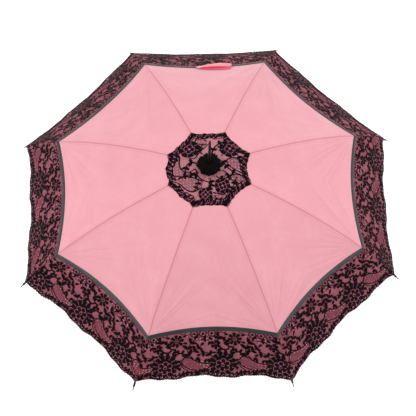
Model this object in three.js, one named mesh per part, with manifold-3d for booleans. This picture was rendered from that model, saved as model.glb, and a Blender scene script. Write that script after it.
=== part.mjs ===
// Lace parasol with eight ribs: a manual stick parasol, open, held upright by its crook handle.
// Millimetres, +Z up the stick, origin on the stick's axis at the middle of the handle's straight grip.
// The rib planes stand at azimuths firstRibAzimuth + k * 45 degrees; the crook opens towards +X.

import * as THREE from 'three';
import { mergeVertices } from 'three/addons/utils/BufferGeometryUtils.js';
import Module from 'manifold-3d';

const wasm = await Module();
wasm.setup();

// ---------------------------------------------------------------- driving dimensions

const ribCount = 8;
const sector = 2 * Math.PI / ribCount;
const firstRibAzimuth = sector / 2;

// open canopy
const canopyRadius = 440;        // axis to the end of a rib tip
const stationCount = 13;         // facets along a rib and its cloth
const canopyRise = 227;          // rib tip ends up to the rib curve's crown on the axis
const crownSlope = 8.5;          // degrees below level where a rib leaves the crown
const tipSlope = 50.2;           // degrees below level at a rib tip
const tipLength = 24;            // rib tip beyond the cloth's corner
const clothThickness = 1.2;      // measured straight down
const clothGap = 0.4;            // between the cloth and what it lies on
const clothInnerRadius = 14;     // hole in the cloth round the crown
const goreHollow = 5;            // how far the middle of a gore is drawn in at the hem
const hemArch = 8;               // how far the middle of a gore's hem is cut up
const seamGap = 0.3;             // between the two half gores on either side of a seam

// frame
const shaftRadius = 4.5;
const shaftWall = 0.8;
const runningGap = 0.35;         // runner on the shaft
const fixedGap = 0.3;            // every other fit
const pivotInset = 4.5;          // shaft's surface to the rings that the ribs and stretchers turn on
const ringWireRadius = 0.5;
const ribWidth = 2.2;
const ribHeight = 2.8;
const stretcherHeight = 2.4;
const eyeRadius = 2.2;           // round ends of ribs and stretchers
const eyeHoleRadius = 0.9;
const rivetRadius = 0.8;
const forkCheek = 1.0;
const jointReach = 212;          // axis to the joint of rib and stretcher
const jointDrop = 4.1;           // that joint below the rib's middle line
const closedTipRadius = 14;      // axis to the end of a rib tip when the parasol is shut
const shutGap = 20;              // rib tip ends above the handle's collar when shut

// crown and runner
const flangeRim = 2.4;           // flange beyond the ring wire
const flangeHeight = 5.6;
const crownSleeveLength = 14;
const sleeveWall = 1.3;
const runnerLength = 44;
const runnerGripWall = 4.75;     // runner's finger grip, beyond its bore
const stopPinRadius = 1;
const stopPinReach = 2;          // stop pin beyond the shaft's surface

// catches
const catchThickness = 1.2;
const catchDepth = 1.6;
const catchLength = 34;
const catchNose = 2.6;           // nose beyond the shaft's surface
const catchNoseLength = 9;
const catchClearance = 1.1;      // leaf's outer face to the shaft's bore
const catchRunGap = 0.4;         // square shoulder to the runner's end

// top
const ferruleHeight = 115;       // above the rib curve's crown
const ferruleRootRadius = 3.4;
const ferruleTipRadius = 2.2;
const ferruleFlangeRadius = 6.5;
const plugLength = 14;           // ferrule's plug inside the shaft
const rosetteRadius = 25;
const rosetteHeight = 15;
const capReach = 91;             // lace cap's corners, on the ribs
const capArch = 9;               // lace cap's edge drawn in between its corners
const capThickness = 0.6;

// handle
const gripLength = 110;
const gripRadius = 8.5;
const crookRadius = 32;          // middle line of the crook
const crookEndLength = 16;
const socketDepth = 62;
const collarHeight = 14;
const collarWall = 1.2;
const endCapLength = 7;

// closing strap
const strapWidth = 20;
const strapLength = 78;
const strapThickness = 1.8;
const strapDistance = 120;       // from the hem corner up along the rib to the strap's middle
const strapStart = 0.27;         // where across the gore it is sewn on, as a share of the gore
const snapRadius = 5;
const snapHeight = 1.6;

// ---------------------------------------------------------------- worked-out geometry

const degrees = Math.PI / 180;
const crownTan = Math.tan(crownSlope * degrees);
const tipTan = Math.tan(tipSlope * degrees);
const pivotRadius = shaftRadius + pivotInset;
const shoulderRadius = (canopyRadius * tipTan - canopyRise) / (tipTan - crownTan);

// The rib's middle line in its own plane: x is the radius, y the height above its crown point.
const ribCurve = new THREE.QuadraticBezierCurve(
  new THREE.Vector2(0, 0),
  new THREE.Vector2(shoulderRadius, -shoulderRadius * crownTan),
  new THREE.Vector2(canopyRadius, -canopyRise));
ribCurve.arcLengthDivisions = 400;
const ribArc = ribCurve.getLength();
const hemCorner = ribArc - tipLength;
const ribEnd = hemCorner + tipLength / 2;

/** The distance along the rib curve at which its radius is the one given. */
function distanceAtRadius(radius) {
  let low = 0;
  let high = ribArc;
  while (high - low > 1e-6) {
    const middle = (low + high) / 2;
    if (ribCurve.getPointAt(middle / ribArc).x < radius) low = middle;
    else high = middle;
  }
  return low;
}

/** A point of the rib's plane, at a distance along its curve and a lift square to it. */
function ribPoint(distance, lift = 0) {
  const share = distance / ribArc;
  const tangent = ribCurve.getTangentAt(share);
  return ribCurve.getPointAt(share).add(new THREE.Vector2(-tangent.y, tangent.x).multiplyScalar(lift));
}

/** Distances from start to end down the rib curve, at the stations that ribs and cloth share. */
function stations(start, end) {
  const pitch = ribArc / stationCount;
  const between = [];
  for (let distance = pitch; distance < end - pitch / 4; distance += pitch) {
    if (distance > start + pitch / 4) between.push(distance);
  }
  return [start, ...between, end];
}

const pivotDistance = distanceAtRadius(pivotRadius);
const jointDistance = distanceAtRadius(jointReach);
const pivot = ribPoint(pivotDistance);
const joint = ribPoint(jointDistance, -jointDrop);
const tipEnd = ribPoint(ribArc);

// The stretcher is as long as the rib from pivot to joint, so the runner's ring stays under the crown's.
const linkLength = pivot.distanceTo(joint);
const openDip = Math.atan2(pivot.y - joint.y, joint.x - pivot.x);
const tipDistance = pivot.distanceTo(tipEnd);
const tipDip = Math.atan2(pivot.y - tipEnd.y, tipEnd.x - pivot.x);
const shutAngle = Math.acos((closedTipRadius - pivotRadius) / tipDistance) - tipDip;
const shutReach = tipDistance * Math.sin(tipDip + shutAngle);

// Heights along the stick, from the origin in the middle of the grip.
const gripTop = gripLength / 2;
const collarTop = gripTop + collarHeight;
const pivotHeight = collarTop + shutGap + shutReach;
const crownPoint = pivotHeight - pivot.y;
const ferruleTop = crownPoint + ferruleHeight;
const openRunner = pivotHeight - 2 * linkLength * Math.sin(openDip);
const shutRunner = pivotHeight - 2 * linkLength * Math.sin(openDip + shutAngle);
const shaftTop = pivotHeight + crownSleeveLength - flangeHeight / 2;
const shaftBottom = gripTop - socketDepth;
const shaftBore = shaftRadius - shaftWall;

const clothLift = ribHeight / 2 + clothGap + clothThickness;
const slotWidth = ribWidth + 2 * fixedGap;
const flangeRadius = pivotRadius + flangeRim;

// ---------------------------------------------------------------- helpers

/** A closed three.js geometry as a manifold solid. */
function solidOf(geometry) {
  const bare = geometry.clone();
  bare.deleteAttribute('normal');
  bare.deleteAttribute('uv');
  const merged = mergeVertices(bare, 1e-4);
  return new wasm.Manifold(new wasm.Mesh({
    numProp: 3,
    vertProperties: merged.attributes.position.array,
    triVerts: Uint32Array.from(merged.index.array),
  }));
}

/** A manifold solid as a three.js geometry. */
function geometryOf(solid) {
  const mesh = solid.getMesh();
  const geometry = new THREE.BufferGeometry();
  geometry.setAttribute('position', new THREE.BufferAttribute(mesh.vertProperties, 3));
  geometry.setIndex(new THREE.BufferAttribute(mesh.triVerts, 1));
  geometry.computeVertexNormals();
  return geometry;
}

/** A body of revolution about Z from [radius, height] pairs, which end on the axis or close. */
function turned(profile, segments = 24) {
  const points = profile.map(([radius, height]) => new THREE.Vector2(radius, height));
  return new THREE.LatheGeometry(points, segments).rotateX(Math.PI / 2);
}

/** A ring of round wire about Z. */
function wireRing(radius, wireRadius, height) {
  return new THREE.TorusGeometry(radius, wireRadius, 6, 32).translate(0, 0, height);
}

/** A plate cut to an outline in a rib's plane, with its thickness to both sides of that plane. */
function plate(shape, thickness, curveSegments = 8) {
  const options = { depth: thickness, bevelEnabled: false, curveSegments };
  return new THREE.ExtrudeGeometry(shape, options).translate(0, 0, -thickness / 2).rotateX(Math.PI / 2);
}

/** A cylinder whose axis is the Y direction through (x, z). */
function crossPin(radius, length, x, z, segments = 10) {
  return new THREE.CylinderGeometry(radius, radius, length, segments).translate(x, 0, z);
}

/** A closed solid between an upper and a lower grid of points; wrap joins the last row to the first. */
function sheetSolid(upper, lower, wrap = false) {
  const rows = upper.length;
  const columns = upper[0].length;
  const positions = [...upper.flat(), ...lower.flat()].flatMap((point) => [point.x, point.y, point.z]);
  const top = (i, j) => (i % rows) * columns + j;
  const under = (i, j) => rows * columns + top(i, j);
  const index = [];
  const quad = (a, b, c, d) => index.push(a, b, c, a, c, d);
  const lastRow = wrap ? rows : rows - 1;
  for (let i = 0; i < lastRow; i++) {
    for (let j = 0; j < columns - 1; j++) {
      quad(top(i, j), top(i, j + 1), top(i + 1, j + 1), top(i + 1, j));
      quad(under(i, j), under(i + 1, j), under(i + 1, j + 1), under(i, j + 1));
    }
    quad(top(i, 0), top(i + 1, 0), under(i + 1, 0), under(i, 0));
    quad(top(i, columns - 1), under(i, columns - 1), under(i + 1, columns - 1), top(i + 1, columns - 1));
  }
  for (let j = 0; j < columns - 1 && !wrap; j++) {
    quad(top(0, j), under(0, j), under(0, j + 1), top(0, j + 1));
    quad(top(rows - 1, j), top(rows - 1, j + 1), under(rows - 1, j + 1), under(rows - 1, j));
  }
  const geometry = new THREE.BufferGeometry();
  geometry.setAttribute('position', new THREE.Float32BufferAttribute(positions, 3));
  geometry.setIndex(index);
  geometry.computeVertexNormals();
  return geometry;
}

/**
 * A point of the canopy's outer face over the gore whose first rib is at azimuth 0.
 * distance runs down the rib curve, across from 0 at the first rib to 1 at the next.
 */
function gorePoint(distance, across, lift) {
  const edge = ribPoint(distance, lift);
  const slope = ribCurve.getTangentAt(distance / ribArc);
  const reach = edge.x * (1 - across) + edge.x * Math.cos(sector) * across;
  const side = edge.x * Math.sin(sector) * across;
  const hollow = goreHollow * (edge.x / canopyRadius) * 4 * across * (1 - across);
  const inward = hollow * -slope.y;
  return new THREE.Vector3(
    reach - inward * Math.cos(sector / 2),
    side - inward * Math.sin(sector / 2),
    crownPoint + edge.y - hollow * slope.x);
}

/** How far the middle of an edge between two ribs is cut up, at a share of the way across. */
function arch(height, across) {
  return height * 4 * across * (1 - across);
}

/** Moves a point sideways off the upright plane through the stick at an azimuth. */
function shifted(point, azimuth, amount) {
  const side = new THREE.Vector3(-Math.sin(azimuth), Math.cos(azimuth), 0);
  return point.clone().addScaledVector(side, amount);
}

// ---------------------------------------------------------------- ribs, stretchers and tips

/** One rib in the XZ plane: a curved bar with an eye on the crown's ring and an ear for the stretcher. */
function ribGeometry() {
  const half = ribHeight / 2;
  const start = pivotDistance + eyeRadius;
  const end = ribEnd;
  const earHalf = eyeRadius + 1.6;
  const stops = stations(start, end);
  const upper = stops.map((distance) => ribPoint(distance, half));
  const back = stops.slice().reverse();
  const outer = back.filter((distance) => distance > jointDistance + earHalf + 1);
  const inner = back.filter((distance) => distance < jointDistance - earHalf - 1);
  const ear = [ribPoint(jointDistance + earHalf, -half)];
  const tangent = ribCurve.getTangentAt(jointDistance / ribArc);
  const heading = Math.atan2(tangent.y, tangent.x);
  for (let i = 0; i <= 6; i++) {
    const angle = heading - Math.PI * (0.1 + 0.8 * i / 6);
    ear.push(new THREE.Vector2(Math.cos(angle), Math.sin(angle)).multiplyScalar(eyeRadius).add(joint));
  }
  ear.push(ribPoint(jointDistance - earHalf, -half));
  const eye = [];
  const startTangent = ribCurve.getTangentAt(pivotDistance / ribArc);
  const startHeading = Math.atan2(startTangent.y, startTangent.x);
  for (let i = 0; i <= 8; i++) {
    const angle = startHeading - Math.PI * (0.28 + 1.44 * i / 8);
    eye.push(new THREE.Vector2(Math.cos(angle), Math.sin(angle)).multiplyScalar(eyeRadius).add(pivot));
  }
  const outline = [
    ...upper,
    ...outer.map((distance) => ribPoint(distance, -half)),
    ...ear,
    ...inner.map((distance) => ribPoint(distance, -half)),
    ...eye,
  ];
  const shape = new THREE.Shape(outline);
  shape.holes.push(new THREE.Path().absarc(pivot.x, pivot.y, eyeHoleRadius, 0, 2 * Math.PI, false));
  const rivetHole = rivetRadius + fixedGap;
  shape.holes.push(new THREE.Path().absarc(joint.x, joint.y, rivetHole, 0, 2 * Math.PI, false));
  return plate(shape, ribWidth, 5).translate(0, 0, crownPoint);
}

/** One stretcher in the XZ plane: a fork and rivet at the rib, a flat bar, an eye on the runner's ring. */
function stretcherGeometry() {
  const forkLength = 10;
  const half = stretcherHeight / 2;
  const forkWidth = ribWidth + 2 * fixedGap + 2 * forkCheek;
  const fork = new THREE.Shape();
  fork.moveTo(forkLength, -half);
  fork.lineTo(forkLength, half);
  fork.lineTo(eyeRadius, eyeRadius * 0.9);
  fork.absarc(0, 0, eyeRadius, Math.PI / 3, 5 * Math.PI / 3, false);
  fork.lineTo(eyeRadius, -eyeRadius * 0.9);
  const slotLength = 2 * eyeRadius + 2.4;
  const slot = new THREE.BoxGeometry(slotLength, ribWidth + 2 * fixedGap, 3 * eyeRadius)
    .translate(slotLength / 2 - eyeRadius - 1, 0, 0);
  const bar = new THREE.Shape();
  bar.moveTo(slotLength - eyeRadius, -half);
  bar.lineTo(linkLength - eyeRadius, -half);
  bar.absarc(linkLength, 0, eyeRadius, -0.8 * Math.PI, 0.8 * Math.PI, false);
  bar.lineTo(linkLength - eyeRadius, half);
  bar.lineTo(slotLength - eyeRadius, half);
  bar.holes.push(new THREE.Path().absarc(linkLength, 0, eyeHoleRadius, 0, 2 * Math.PI, false));
  const solid = solidOf(plate(fork, forkWidth, 4))
    .subtract(solidOf(slot))
    .add(solidOf(crossPin(rivetRadius, forkWidth + 0.8, 0, 0)))
    .add(solidOf(plate(bar, ribWidth, 5)));
  // Laid from the joint inwards and down to the runner's ring.
  return geometryOf(solid)
    .rotateY(Math.PI - openDip)
    .translate(joint.x, 0, crownPoint + joint.y);
}

/** One rib tip in the XZ plane: a small socket over the rib's end and a pin with a rounded end. */
function tipGeometry() {
  const socketLength = tipLength * 0.55;
  const socketRadius = Math.hypot(ribHeight, ribWidth) / 2 + fixedGap + 0.5;
  const pinRadius = 1.3;
  const profile = [
    [0, tipLength],
    [pinRadius * 0.8, tipLength - 0.4],
    [pinRadius * 1.25, tipLength - 1.8],
    [pinRadius, tipLength - 3.4],
    [pinRadius, socketLength + 1.5],
    [socketRadius, socketLength],
    [socketRadius, 1],
    [0, 1],
  ];
  const boreDepth = tipLength / 2 + fixedGap;
  const boreHeight = ribHeight + 2 * fixedGap + 0.3;
  const bore = new THREE.BoxGeometry(boreHeight, slotWidth, 2 * boreDepth);
  const body = solidOf(turned(profile.slice().reverse(), 10)).subtract(solidOf(bore));
  const corner = ribPoint(hemCorner);
  const line = ribPoint(ribEnd).sub(corner);
  const dip = Math.atan2(-line.y, line.x);
  return geometryOf(body)
    .rotateY(Math.PI / 2 + dip)
    .translate(corner.x, 0, crownPoint + corner.y);
}

// ---------------------------------------------------------------- crown, runner, shaft and catches

/** A flange with one slot for each rib or stretcher and a groove for the ring wire, about height 0. */
function notched(body) {
  const grooveHalf = ringWireRadius + fixedGap;
  const slotFloor = pivotRadius - eyeRadius - fixedGap;
  const slotLength = flangeRadius - slotFloor + 1;
  let solid = body.subtract(solidOf(turned([
    [pivotRadius - grooveHalf, -grooveHalf],
    [flangeRadius + 1, -grooveHalf],
    [flangeRadius + 1, grooveHalf],
    [pivotRadius - grooveHalf, grooveHalf],
    [pivotRadius - grooveHalf, -grooveHalf],
  ])));
  for (let k = 0; k < ribCount; k++) {
    const slot = new THREE.BoxGeometry(slotLength, slotWidth, flangeHeight + 2)
      .translate(slotFloor + slotLength / 2, 0, 0)
      .rotateZ(firstRibAzimuth + k * sector);
    solid = solid.subtract(solidOf(slot));
  }
  return solid;
}

function crownGeometry() {
  const bore = shaftRadius + fixedGap;
  const sleeve = bore + sleeveWall;
  const top = shaftTop - pivotHeight - fixedGap;
  const half = flangeHeight / 2;
  const body = solidOf(turned([
    [bore, -half],
    [flangeRadius, -half],
    [flangeRadius, half],
    [sleeve, half],
    [sleeve, top],
    [bore, top],
    [bore, -half],
  ]));
  return geometryOf(notched(body)).translate(0, 0, pivotHeight);
}

function runnerGeometry() {
  const bore = shaftRadius + runningGap;
  const sleeve = bore + sleeveWall;
  const grip = bore + runnerGripWall;
  const half = flangeHeight / 2;
  const bottom = half - runnerLength;
  const body = solidOf(turned([
    [bore, bottom],
    [grip - 1, bottom],
    [grip, bottom + 1],
    [grip, bottom + 4],
    [sleeve + 0.6, bottom + 8],
    [sleeve + 0.6, -half - 4],
    [pivotRadius, -half],
    [flangeRadius, -half],
    [flangeRadius, half],
    [bore, half],
    [bore, bottom],
  ]));
  return geometryOf(notched(body)).translate(0, 0, openRunner);
}

const runnerBottom = flangeHeight / 2 - runnerLength;
const topCatchHeight = openRunner + runnerBottom - catchRunGap;
const bottomCatchHeight = shutRunner + flangeHeight / 2 + catchRunGap;
const stopPinHeight = openRunner + flangeHeight / 2 + stopPinRadius + fixedGap;

/**
 * A catch: a leaf inside the shaft, on the -Y side, with a nose through the shaft's slot.
 * up is 1 when the nose's square shoulder is its upper end and the leaf hangs below, -1 the other way.
 */
function catchGeometry(shoulder, up) {
  const outer = shaftBore - catchClearance;
  const inner = shaftRadius - catchNose - catchDepth / 2;
  const leaf = new THREE.Shape();
  leaf.moveTo(outer, 0);
  leaf.lineTo(shaftRadius + catchNose, 0);
  leaf.lineTo(shaftRadius + catchNose - 0.6, -2 * up);
  leaf.lineTo(outer + 0.1, -catchNoseLength * up);
  leaf.lineTo(outer, -catchLength * up);
  leaf.lineTo(inner, -catchLength * up);
  leaf.lineTo(inner, 0);
  return plate(leaf, catchThickness).rotateZ(-Math.PI / 2).translate(0, 0, shoulder);
}

/** The slot in the shaft's wall that a catch's nose comes out of. */
function catchSlot(shoulder, up) {
  const length = catchNoseLength + 2;
  return new THREE.BoxGeometry(catchThickness + 2 * fixedGap, shaftRadius * 2, length)
    .translate(0, -shaftRadius - 0.5, shoulder - up * (length / 2 - 1));
}

function shaftGeometry() {
  const tube = turned([
    [shaftBore, shaftBottom],
    [shaftRadius, shaftBottom],
    [shaftRadius, shaftTop],
    [shaftBore, shaftTop],
    [shaftBore, shaftBottom],
  ]);
  const pinHole = crossPin(stopPinRadius + fixedGap, 4 * shaftRadius, 0, 0)
    .rotateZ(Math.PI / 2).translate(0, 0, stopPinHeight);
  return geometryOf(solidOf(tube)
    .subtract(solidOf(pinHole))
    .subtract(solidOf(catchSlot(topCatchHeight, 1)))
    .subtract(solidOf(catchSlot(bottomCatchHeight, -1))));
}

function stopPinGeometry() {
  return crossPin(stopPinRadius, 2 * (shaftRadius + stopPinReach), 0, 0)
    .rotateZ(Math.PI / 2).translate(0, 0, stopPinHeight);
}

// ---------------------------------------------------------------- top of the parasol

function ferruleGeometry() {
  const plugRadius = shaftBore - fixedGap;
  const seat = shaftTop + fixedGap;
  return turned([
    [0, shaftTop - plugLength],
    [plugRadius, shaftTop - plugLength],
    [plugRadius, seat],
    [ferruleFlangeRadius, seat],
    [ferruleFlangeRadius, seat + 2],
    [ferruleRootRadius + 0.6, seat + 5],
    [ferruleRootRadius, seat + 8],
    [ferruleTipRadius, ferruleTop - 3],
    [ferruleTipRadius - 0.5, ferruleTop - 0.6],
    [ferruleTipRadius - 1.1, ferruleTop],
    [0, ferruleTop],
  ], 24);
}

/** The gathered rosette of cloth round the ferrule's foot, as its outer shape with the hole through it. */
function rosetteGeometry() {
  const inner = Math.max(ferruleFlangeRadius, shaftRadius + fixedGap + sleeveWall) + fixedGap;
  const floor = gorePoint(distanceAtRadius(rosetteRadius), 0, clothLift + capThickness + 2 * clothGap).z;
  const crownTopFloor = pivotHeight + flangeHeight / 2 + clothGap;
  const low = Math.max(crownTopFloor, floor);
  const rise = Math.max(low, gorePoint(distanceAtRadius(clothInnerRadius), 0, clothLift).z + 1.6);
  return turned([
    [inner, rise],
    [clothInnerRadius, rise],
    [rosetteRadius * 0.92, rise],
    [rosetteRadius, rise + rosetteHeight * 0.3],
    [rosetteRadius * 0.92, rise + rosetteHeight * 0.66],
    [rosetteRadius * 0.68, rise + rosetteHeight * 0.94],
    [rosetteRadius * 0.42, rise + rosetteHeight],
    [inner, rise + rosetteHeight * 0.8],
    [inner, rise],
  ]);
}

// ---------------------------------------------------------------- cloth

/** The distance down the rib curve of the hem, at a share of the way across a gore. */
function hemDistance(across) {
  return hemCorner - arch(hemArch, across);
}

/** Half a gore, from its rib to its middle line, with the gore's first rib at azimuth 0. */
function halfGoreGeometry() {
  const columns = 3;
  const start = distanceAtRadius(clothInnerRadius);
  const stops = stations(start, hemCorner);
  const upper = [];
  const lower = [];
  for (let j = 0; j <= columns; j++) {
    const across = 0.5 * j / columns;
    const ends = j === 0 || j === columns;
    const azimuth = j === 0 ? 0 : sector / 2;
    const amount = j === 0 ? seamGap / 2 : -seamGap / 2;
    const line = [...stops.slice(0, -1), hemDistance(across)].map((distance) => {
      const point = gorePoint(distance, across, clothLift);
      return ends ? shifted(point, azimuth, amount) : point;
    });
    upper.push(line);
    lower.push(line.map((point) => point.clone().setZ(point.z - clothThickness)));
  }
  return sheetSolid(upper, lower);
}

/** The same half gore on the other side of its rib. */
function mirroredHalfGore(geometry) {
  const mirrored = geometry.clone().scale(1, -1, 1);
  const index = mirrored.index.array;
  for (let i = 0; i < index.length; i += 3) {
    [index[i], index[i + 1]] = [index[i + 1], index[i]];
  }
  mirrored.computeVertexNormals();
  return mirrored;
}

/** The lace cap: a thin eight-cornered sheet over the middle of the canopy, with a hole for the ferrule. */
function laceCapGeometry() {
  const columns = 4;
  const steps = 4;
  const start = distanceAtRadius(clothInnerRadius);
  const corner = distanceAtRadius(capReach);
  const upper = [];
  const lower = [];
  for (let k = 0; k < ribCount; k++) {
    for (let i = 0; i < steps; i++) {
      const across = i / steps;
      const line = [];
      for (let j = 0; j <= columns; j++) {
        const end = corner - arch(capArch, across);
        const distance = start + (end - start) * j / columns;
        const lift = clothLift + clothGap + capThickness;
        const point = gorePoint(distance, across, lift);
        line.push(point.applyAxisAngle(new THREE.Vector3(0, 0, 1), firstRibAzimuth + k * sector));
      }
      upper.push(line);
      lower.push(line.map((point) => point.clone().setZ(point.z - capThickness)));
    }
  }
  return sheetSolid(upper, lower, true);
}

const strapRow = hemCorner - strapDistance;
const strapLift = clothLift + clothGap + 0.2;

/** The closing strap, lying on a gore along its hem side, with the gore's first rib at azimuth 0. */
function strapGeometry() {
  const chord = 2 * ribPoint(strapRow).x * Math.sin(sector / 2);
  const rows = 10;
  const columns = 2;
  const upper = [];
  const lower = [];
  for (let i = 0; i <= rows; i++) {
    const across = strapStart + strapLength / chord * i / rows;
    const line = [];
    const under = [];
    for (let j = 0; j <= columns; j++) {
      const distance = strapRow + strapWidth * (j / columns - 0.5);
      line.push(gorePoint(distance, across, strapLift + strapThickness));
      under.push(gorePoint(distance, across, strapLift));
    }
    upper.push(line);
    lower.push(under);
  }
  return sheetSolid(upper, lower);
}

/** The metal snap near the strap's free end, a small turned disc standing on it. */
function snapGeometry() {
  const chord = 2 * ribPoint(strapRow).x * Math.sin(sector / 2);
  const across = strapStart + (strapLength - snapRadius - 4) / chord;
  const foot = gorePoint(strapRow, across, strapLift + strapThickness + 2 * fixedGap);
  const tangent = ribCurve.getTangentAt(strapRow / ribArc);
  const dip = Math.atan2(-tangent.y, tangent.x);
  return turned([
    [0, 0],
    [snapRadius, 0],
    [snapRadius, snapHeight * 0.5],
    [snapRadius * 0.7, snapHeight],
    [0, snapHeight],
  ], 20)
    .rotateY(dip)
    .rotateZ(sector / 2)
    .translate(foot.x, foot.y, foot.z);
}

// ---------------------------------------------------------------- handle

/** The crook's middle line: down the grip, round half a turn and up a short straight end, by arc length. */
class CrookLine extends THREE.Curve {
  getPoint(share) {
    const bend = Math.PI * crookRadius;
    const walked = share * (gripLength + bend + crookEndLength);
    if (walked <= gripLength) return new THREE.Vector3(0, 0, gripTop - walked);
    if (walked >= gripLength + bend) {
      return new THREE.Vector3(2 * crookRadius, 0, gripTop - gripLength + (walked - gripLength - bend));
    }
    const turn = (walked - gripLength) / crookRadius;
    const x = crookRadius * (1 - Math.cos(turn));
    return new THREE.Vector3(x, 0, gripTop - gripLength - crookRadius * Math.sin(turn));
  }
}

function handleGeometry() {
  const line = new CrookLine();
  line.arcLengthDivisions = 600;
  const section = new THREE.Shape().absarc(0, 0, gripRadius, 0, 2 * Math.PI, false);
  const options = { steps: 30, extrudePath: line, curveSegments: 8 };
  const body = new THREE.ExtrudeGeometry(section, options);
  const socketRadius = shaftRadius + fixedGap;
  const socket = new THREE.CylinderGeometry(socketRadius, socketRadius, 2 * (socketDepth + fixedGap), 32)
    .rotateX(Math.PI / 2)
    .translate(0, 0, gripTop);
  return geometryOf(solidOf(body).subtract(solidOf(socket)));
}

/** The metal collar standing on the handle's upper end, round the shaft. */
function collarGeometry() {
  const bore = shaftRadius + fixedGap;
  const foot = gripTop + fixedGap;
  return turned([
    [bore, foot],
    [gripRadius + 0.5, foot],
    [gripRadius + 0.5, foot + 2.5],
    [gripRadius - 0.6, foot + 3.5],
    [bore + collarWall + 0.4, collarTop - 1],
    [bore + collarWall, collarTop],
    [bore, collarTop],
    [bore, foot],
  ], 28);
}

/** The metal cap on the crook's free end, a disc with a turned-over rim. */
function endCapGeometry() {
  const foot = gripTop - gripLength + crookEndLength + fixedGap;
  return turned([
    [0, 0],
    [gripRadius, 0],
    [gripRadius + 0.5, 0.6],
    [gripRadius + 0.5, endCapLength - 2],
    [gripRadius - 1.5, endCapLength],
    [0, endCapLength],
  ], 28).translate(2 * crookRadius, 0, foot);
}

// ---------------------------------------------------------------- materials

const paint = (color, roughness, metalness) => new THREE.MeshStandardMaterial({ color, roughness, metalness });
const steel = paint(0xb9bbc0, 0.3, 1);
const darkMetal = paint(0x54545c, 0.35, 1);
const shaftPaint = paint(0x1b181b, 0.3, 0.2);
const lacquer = paint(0x2a1013, 0.25, 0.1);
const plastic = paint(0x151316, 0.4, 0);
const pinkCloth = paint(0xf0b0bc, 0.75, 0);
const blackLace = paint(0x17131a, 0.8, 0);
const blackSatin = paint(0x1a171c, 0.5, 0);
const pinkSatin = paint(0xe8708a, 0.35, 0);

// ---------------------------------------------------------------- assembly

const parasol = new THREE.Group();

/** Adds one named sub-part, turned about the stick by an azimuth. */
function add(name, geometry, material, azimuth = 0) {
  const mesh = new THREE.Mesh(geometry, material);
  mesh.name = name;
  mesh.rotation.z = azimuth;
  parasol.add(mesh);
}

add('shaft', shaftGeometry(), shaftPaint);
add('ferrule', ferruleGeometry(), lacquer);
add('crown', crownGeometry(), plastic);
add('crown_ring', wireRing(pivotRadius, ringWireRadius, pivotHeight), steel);
add('runner', runnerGeometry(), plastic);
add('runner_ring', wireRing(pivotRadius, ringWireRadius, openRunner), steel);
add('stop_pin', stopPinGeometry(), steel);
add('top_catch', catchGeometry(topCatchHeight, 1), steel);
add('bottom_catch', catchGeometry(bottomCatchHeight, -1), steel);
add('rosette', rosetteGeometry(), blackSatin);
add('lace_cap', laceCapGeometry(), blackLace);
add('handle', handleGeometry(), lacquer);
add('handle_collar', collarGeometry(), steel);
add('crook_end_cap', endCapGeometry(), steel);

const rib = ribGeometry();
const stretcher = stretcherGeometry();
const ribTip = tipGeometry();
const firstHalf = halfGoreGeometry();
const secondHalf = mirroredHalfGore(firstHalf);

for (let k = 0; k < ribCount; k++) {
  const azimuth = firstRibAzimuth + k * sector;
  const number = k + 1;
  const before = (k + ribCount - 1) % ribCount + 1;
  add(`rib_${number}`, rib, darkMetal, azimuth);
  add(`rib_tip_${number}`, ribTip, darkMetal, azimuth);
  add(`stretcher_${number}`, stretcher, darkMetal, azimuth);
  add(`gore_${number}_first_half`, firstHalf, pinkCloth, azimuth);
  add(`gore_${before}_second_half`, secondHalf, pinkCloth, azimuth);
}

// The strap lies on the second gore, sewn near its first rib.
const strapAzimuth = firstRibAzimuth + sector;
add('closing_strap', strapGeometry(), pinkSatin, strapAzimuth);
add('strap_snap', snapGeometry(), steel, strapAzimuth);

export default parasol;
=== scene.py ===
"""Looks of the lace parasol: cloth, lace, ribbon, rosette, strap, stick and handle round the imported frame.

Shapes are worked out in millimetres and become metres when a mesh is made. Each gore has its own flat pattern:
d runs down the rib curve, a goes from 0 at the gore's first rib to 1 at the next, and every layer of cloth and lace
is laid on the same surface, so the layers stay parallel and neighbours meet exactly.
"""

import math

import bmesh
import bpy
import numpy as np
from mathutils import Matrix, Vector


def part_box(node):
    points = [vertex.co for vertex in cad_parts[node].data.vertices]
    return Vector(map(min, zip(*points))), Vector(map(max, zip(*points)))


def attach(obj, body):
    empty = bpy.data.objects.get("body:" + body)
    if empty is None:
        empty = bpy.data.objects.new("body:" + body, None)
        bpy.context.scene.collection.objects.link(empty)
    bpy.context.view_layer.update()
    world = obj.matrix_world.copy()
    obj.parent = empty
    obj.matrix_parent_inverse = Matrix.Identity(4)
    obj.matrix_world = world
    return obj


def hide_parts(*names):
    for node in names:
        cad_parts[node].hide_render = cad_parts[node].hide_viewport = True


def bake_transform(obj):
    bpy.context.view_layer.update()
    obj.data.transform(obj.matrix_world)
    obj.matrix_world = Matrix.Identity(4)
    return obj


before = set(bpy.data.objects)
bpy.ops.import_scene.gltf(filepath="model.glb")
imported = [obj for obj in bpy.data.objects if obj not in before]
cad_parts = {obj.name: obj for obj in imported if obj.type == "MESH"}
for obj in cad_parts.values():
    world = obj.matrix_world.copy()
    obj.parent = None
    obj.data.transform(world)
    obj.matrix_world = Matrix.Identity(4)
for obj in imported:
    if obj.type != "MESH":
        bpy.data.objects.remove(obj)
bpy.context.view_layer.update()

MM = 0.001
SEED = 7

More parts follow.
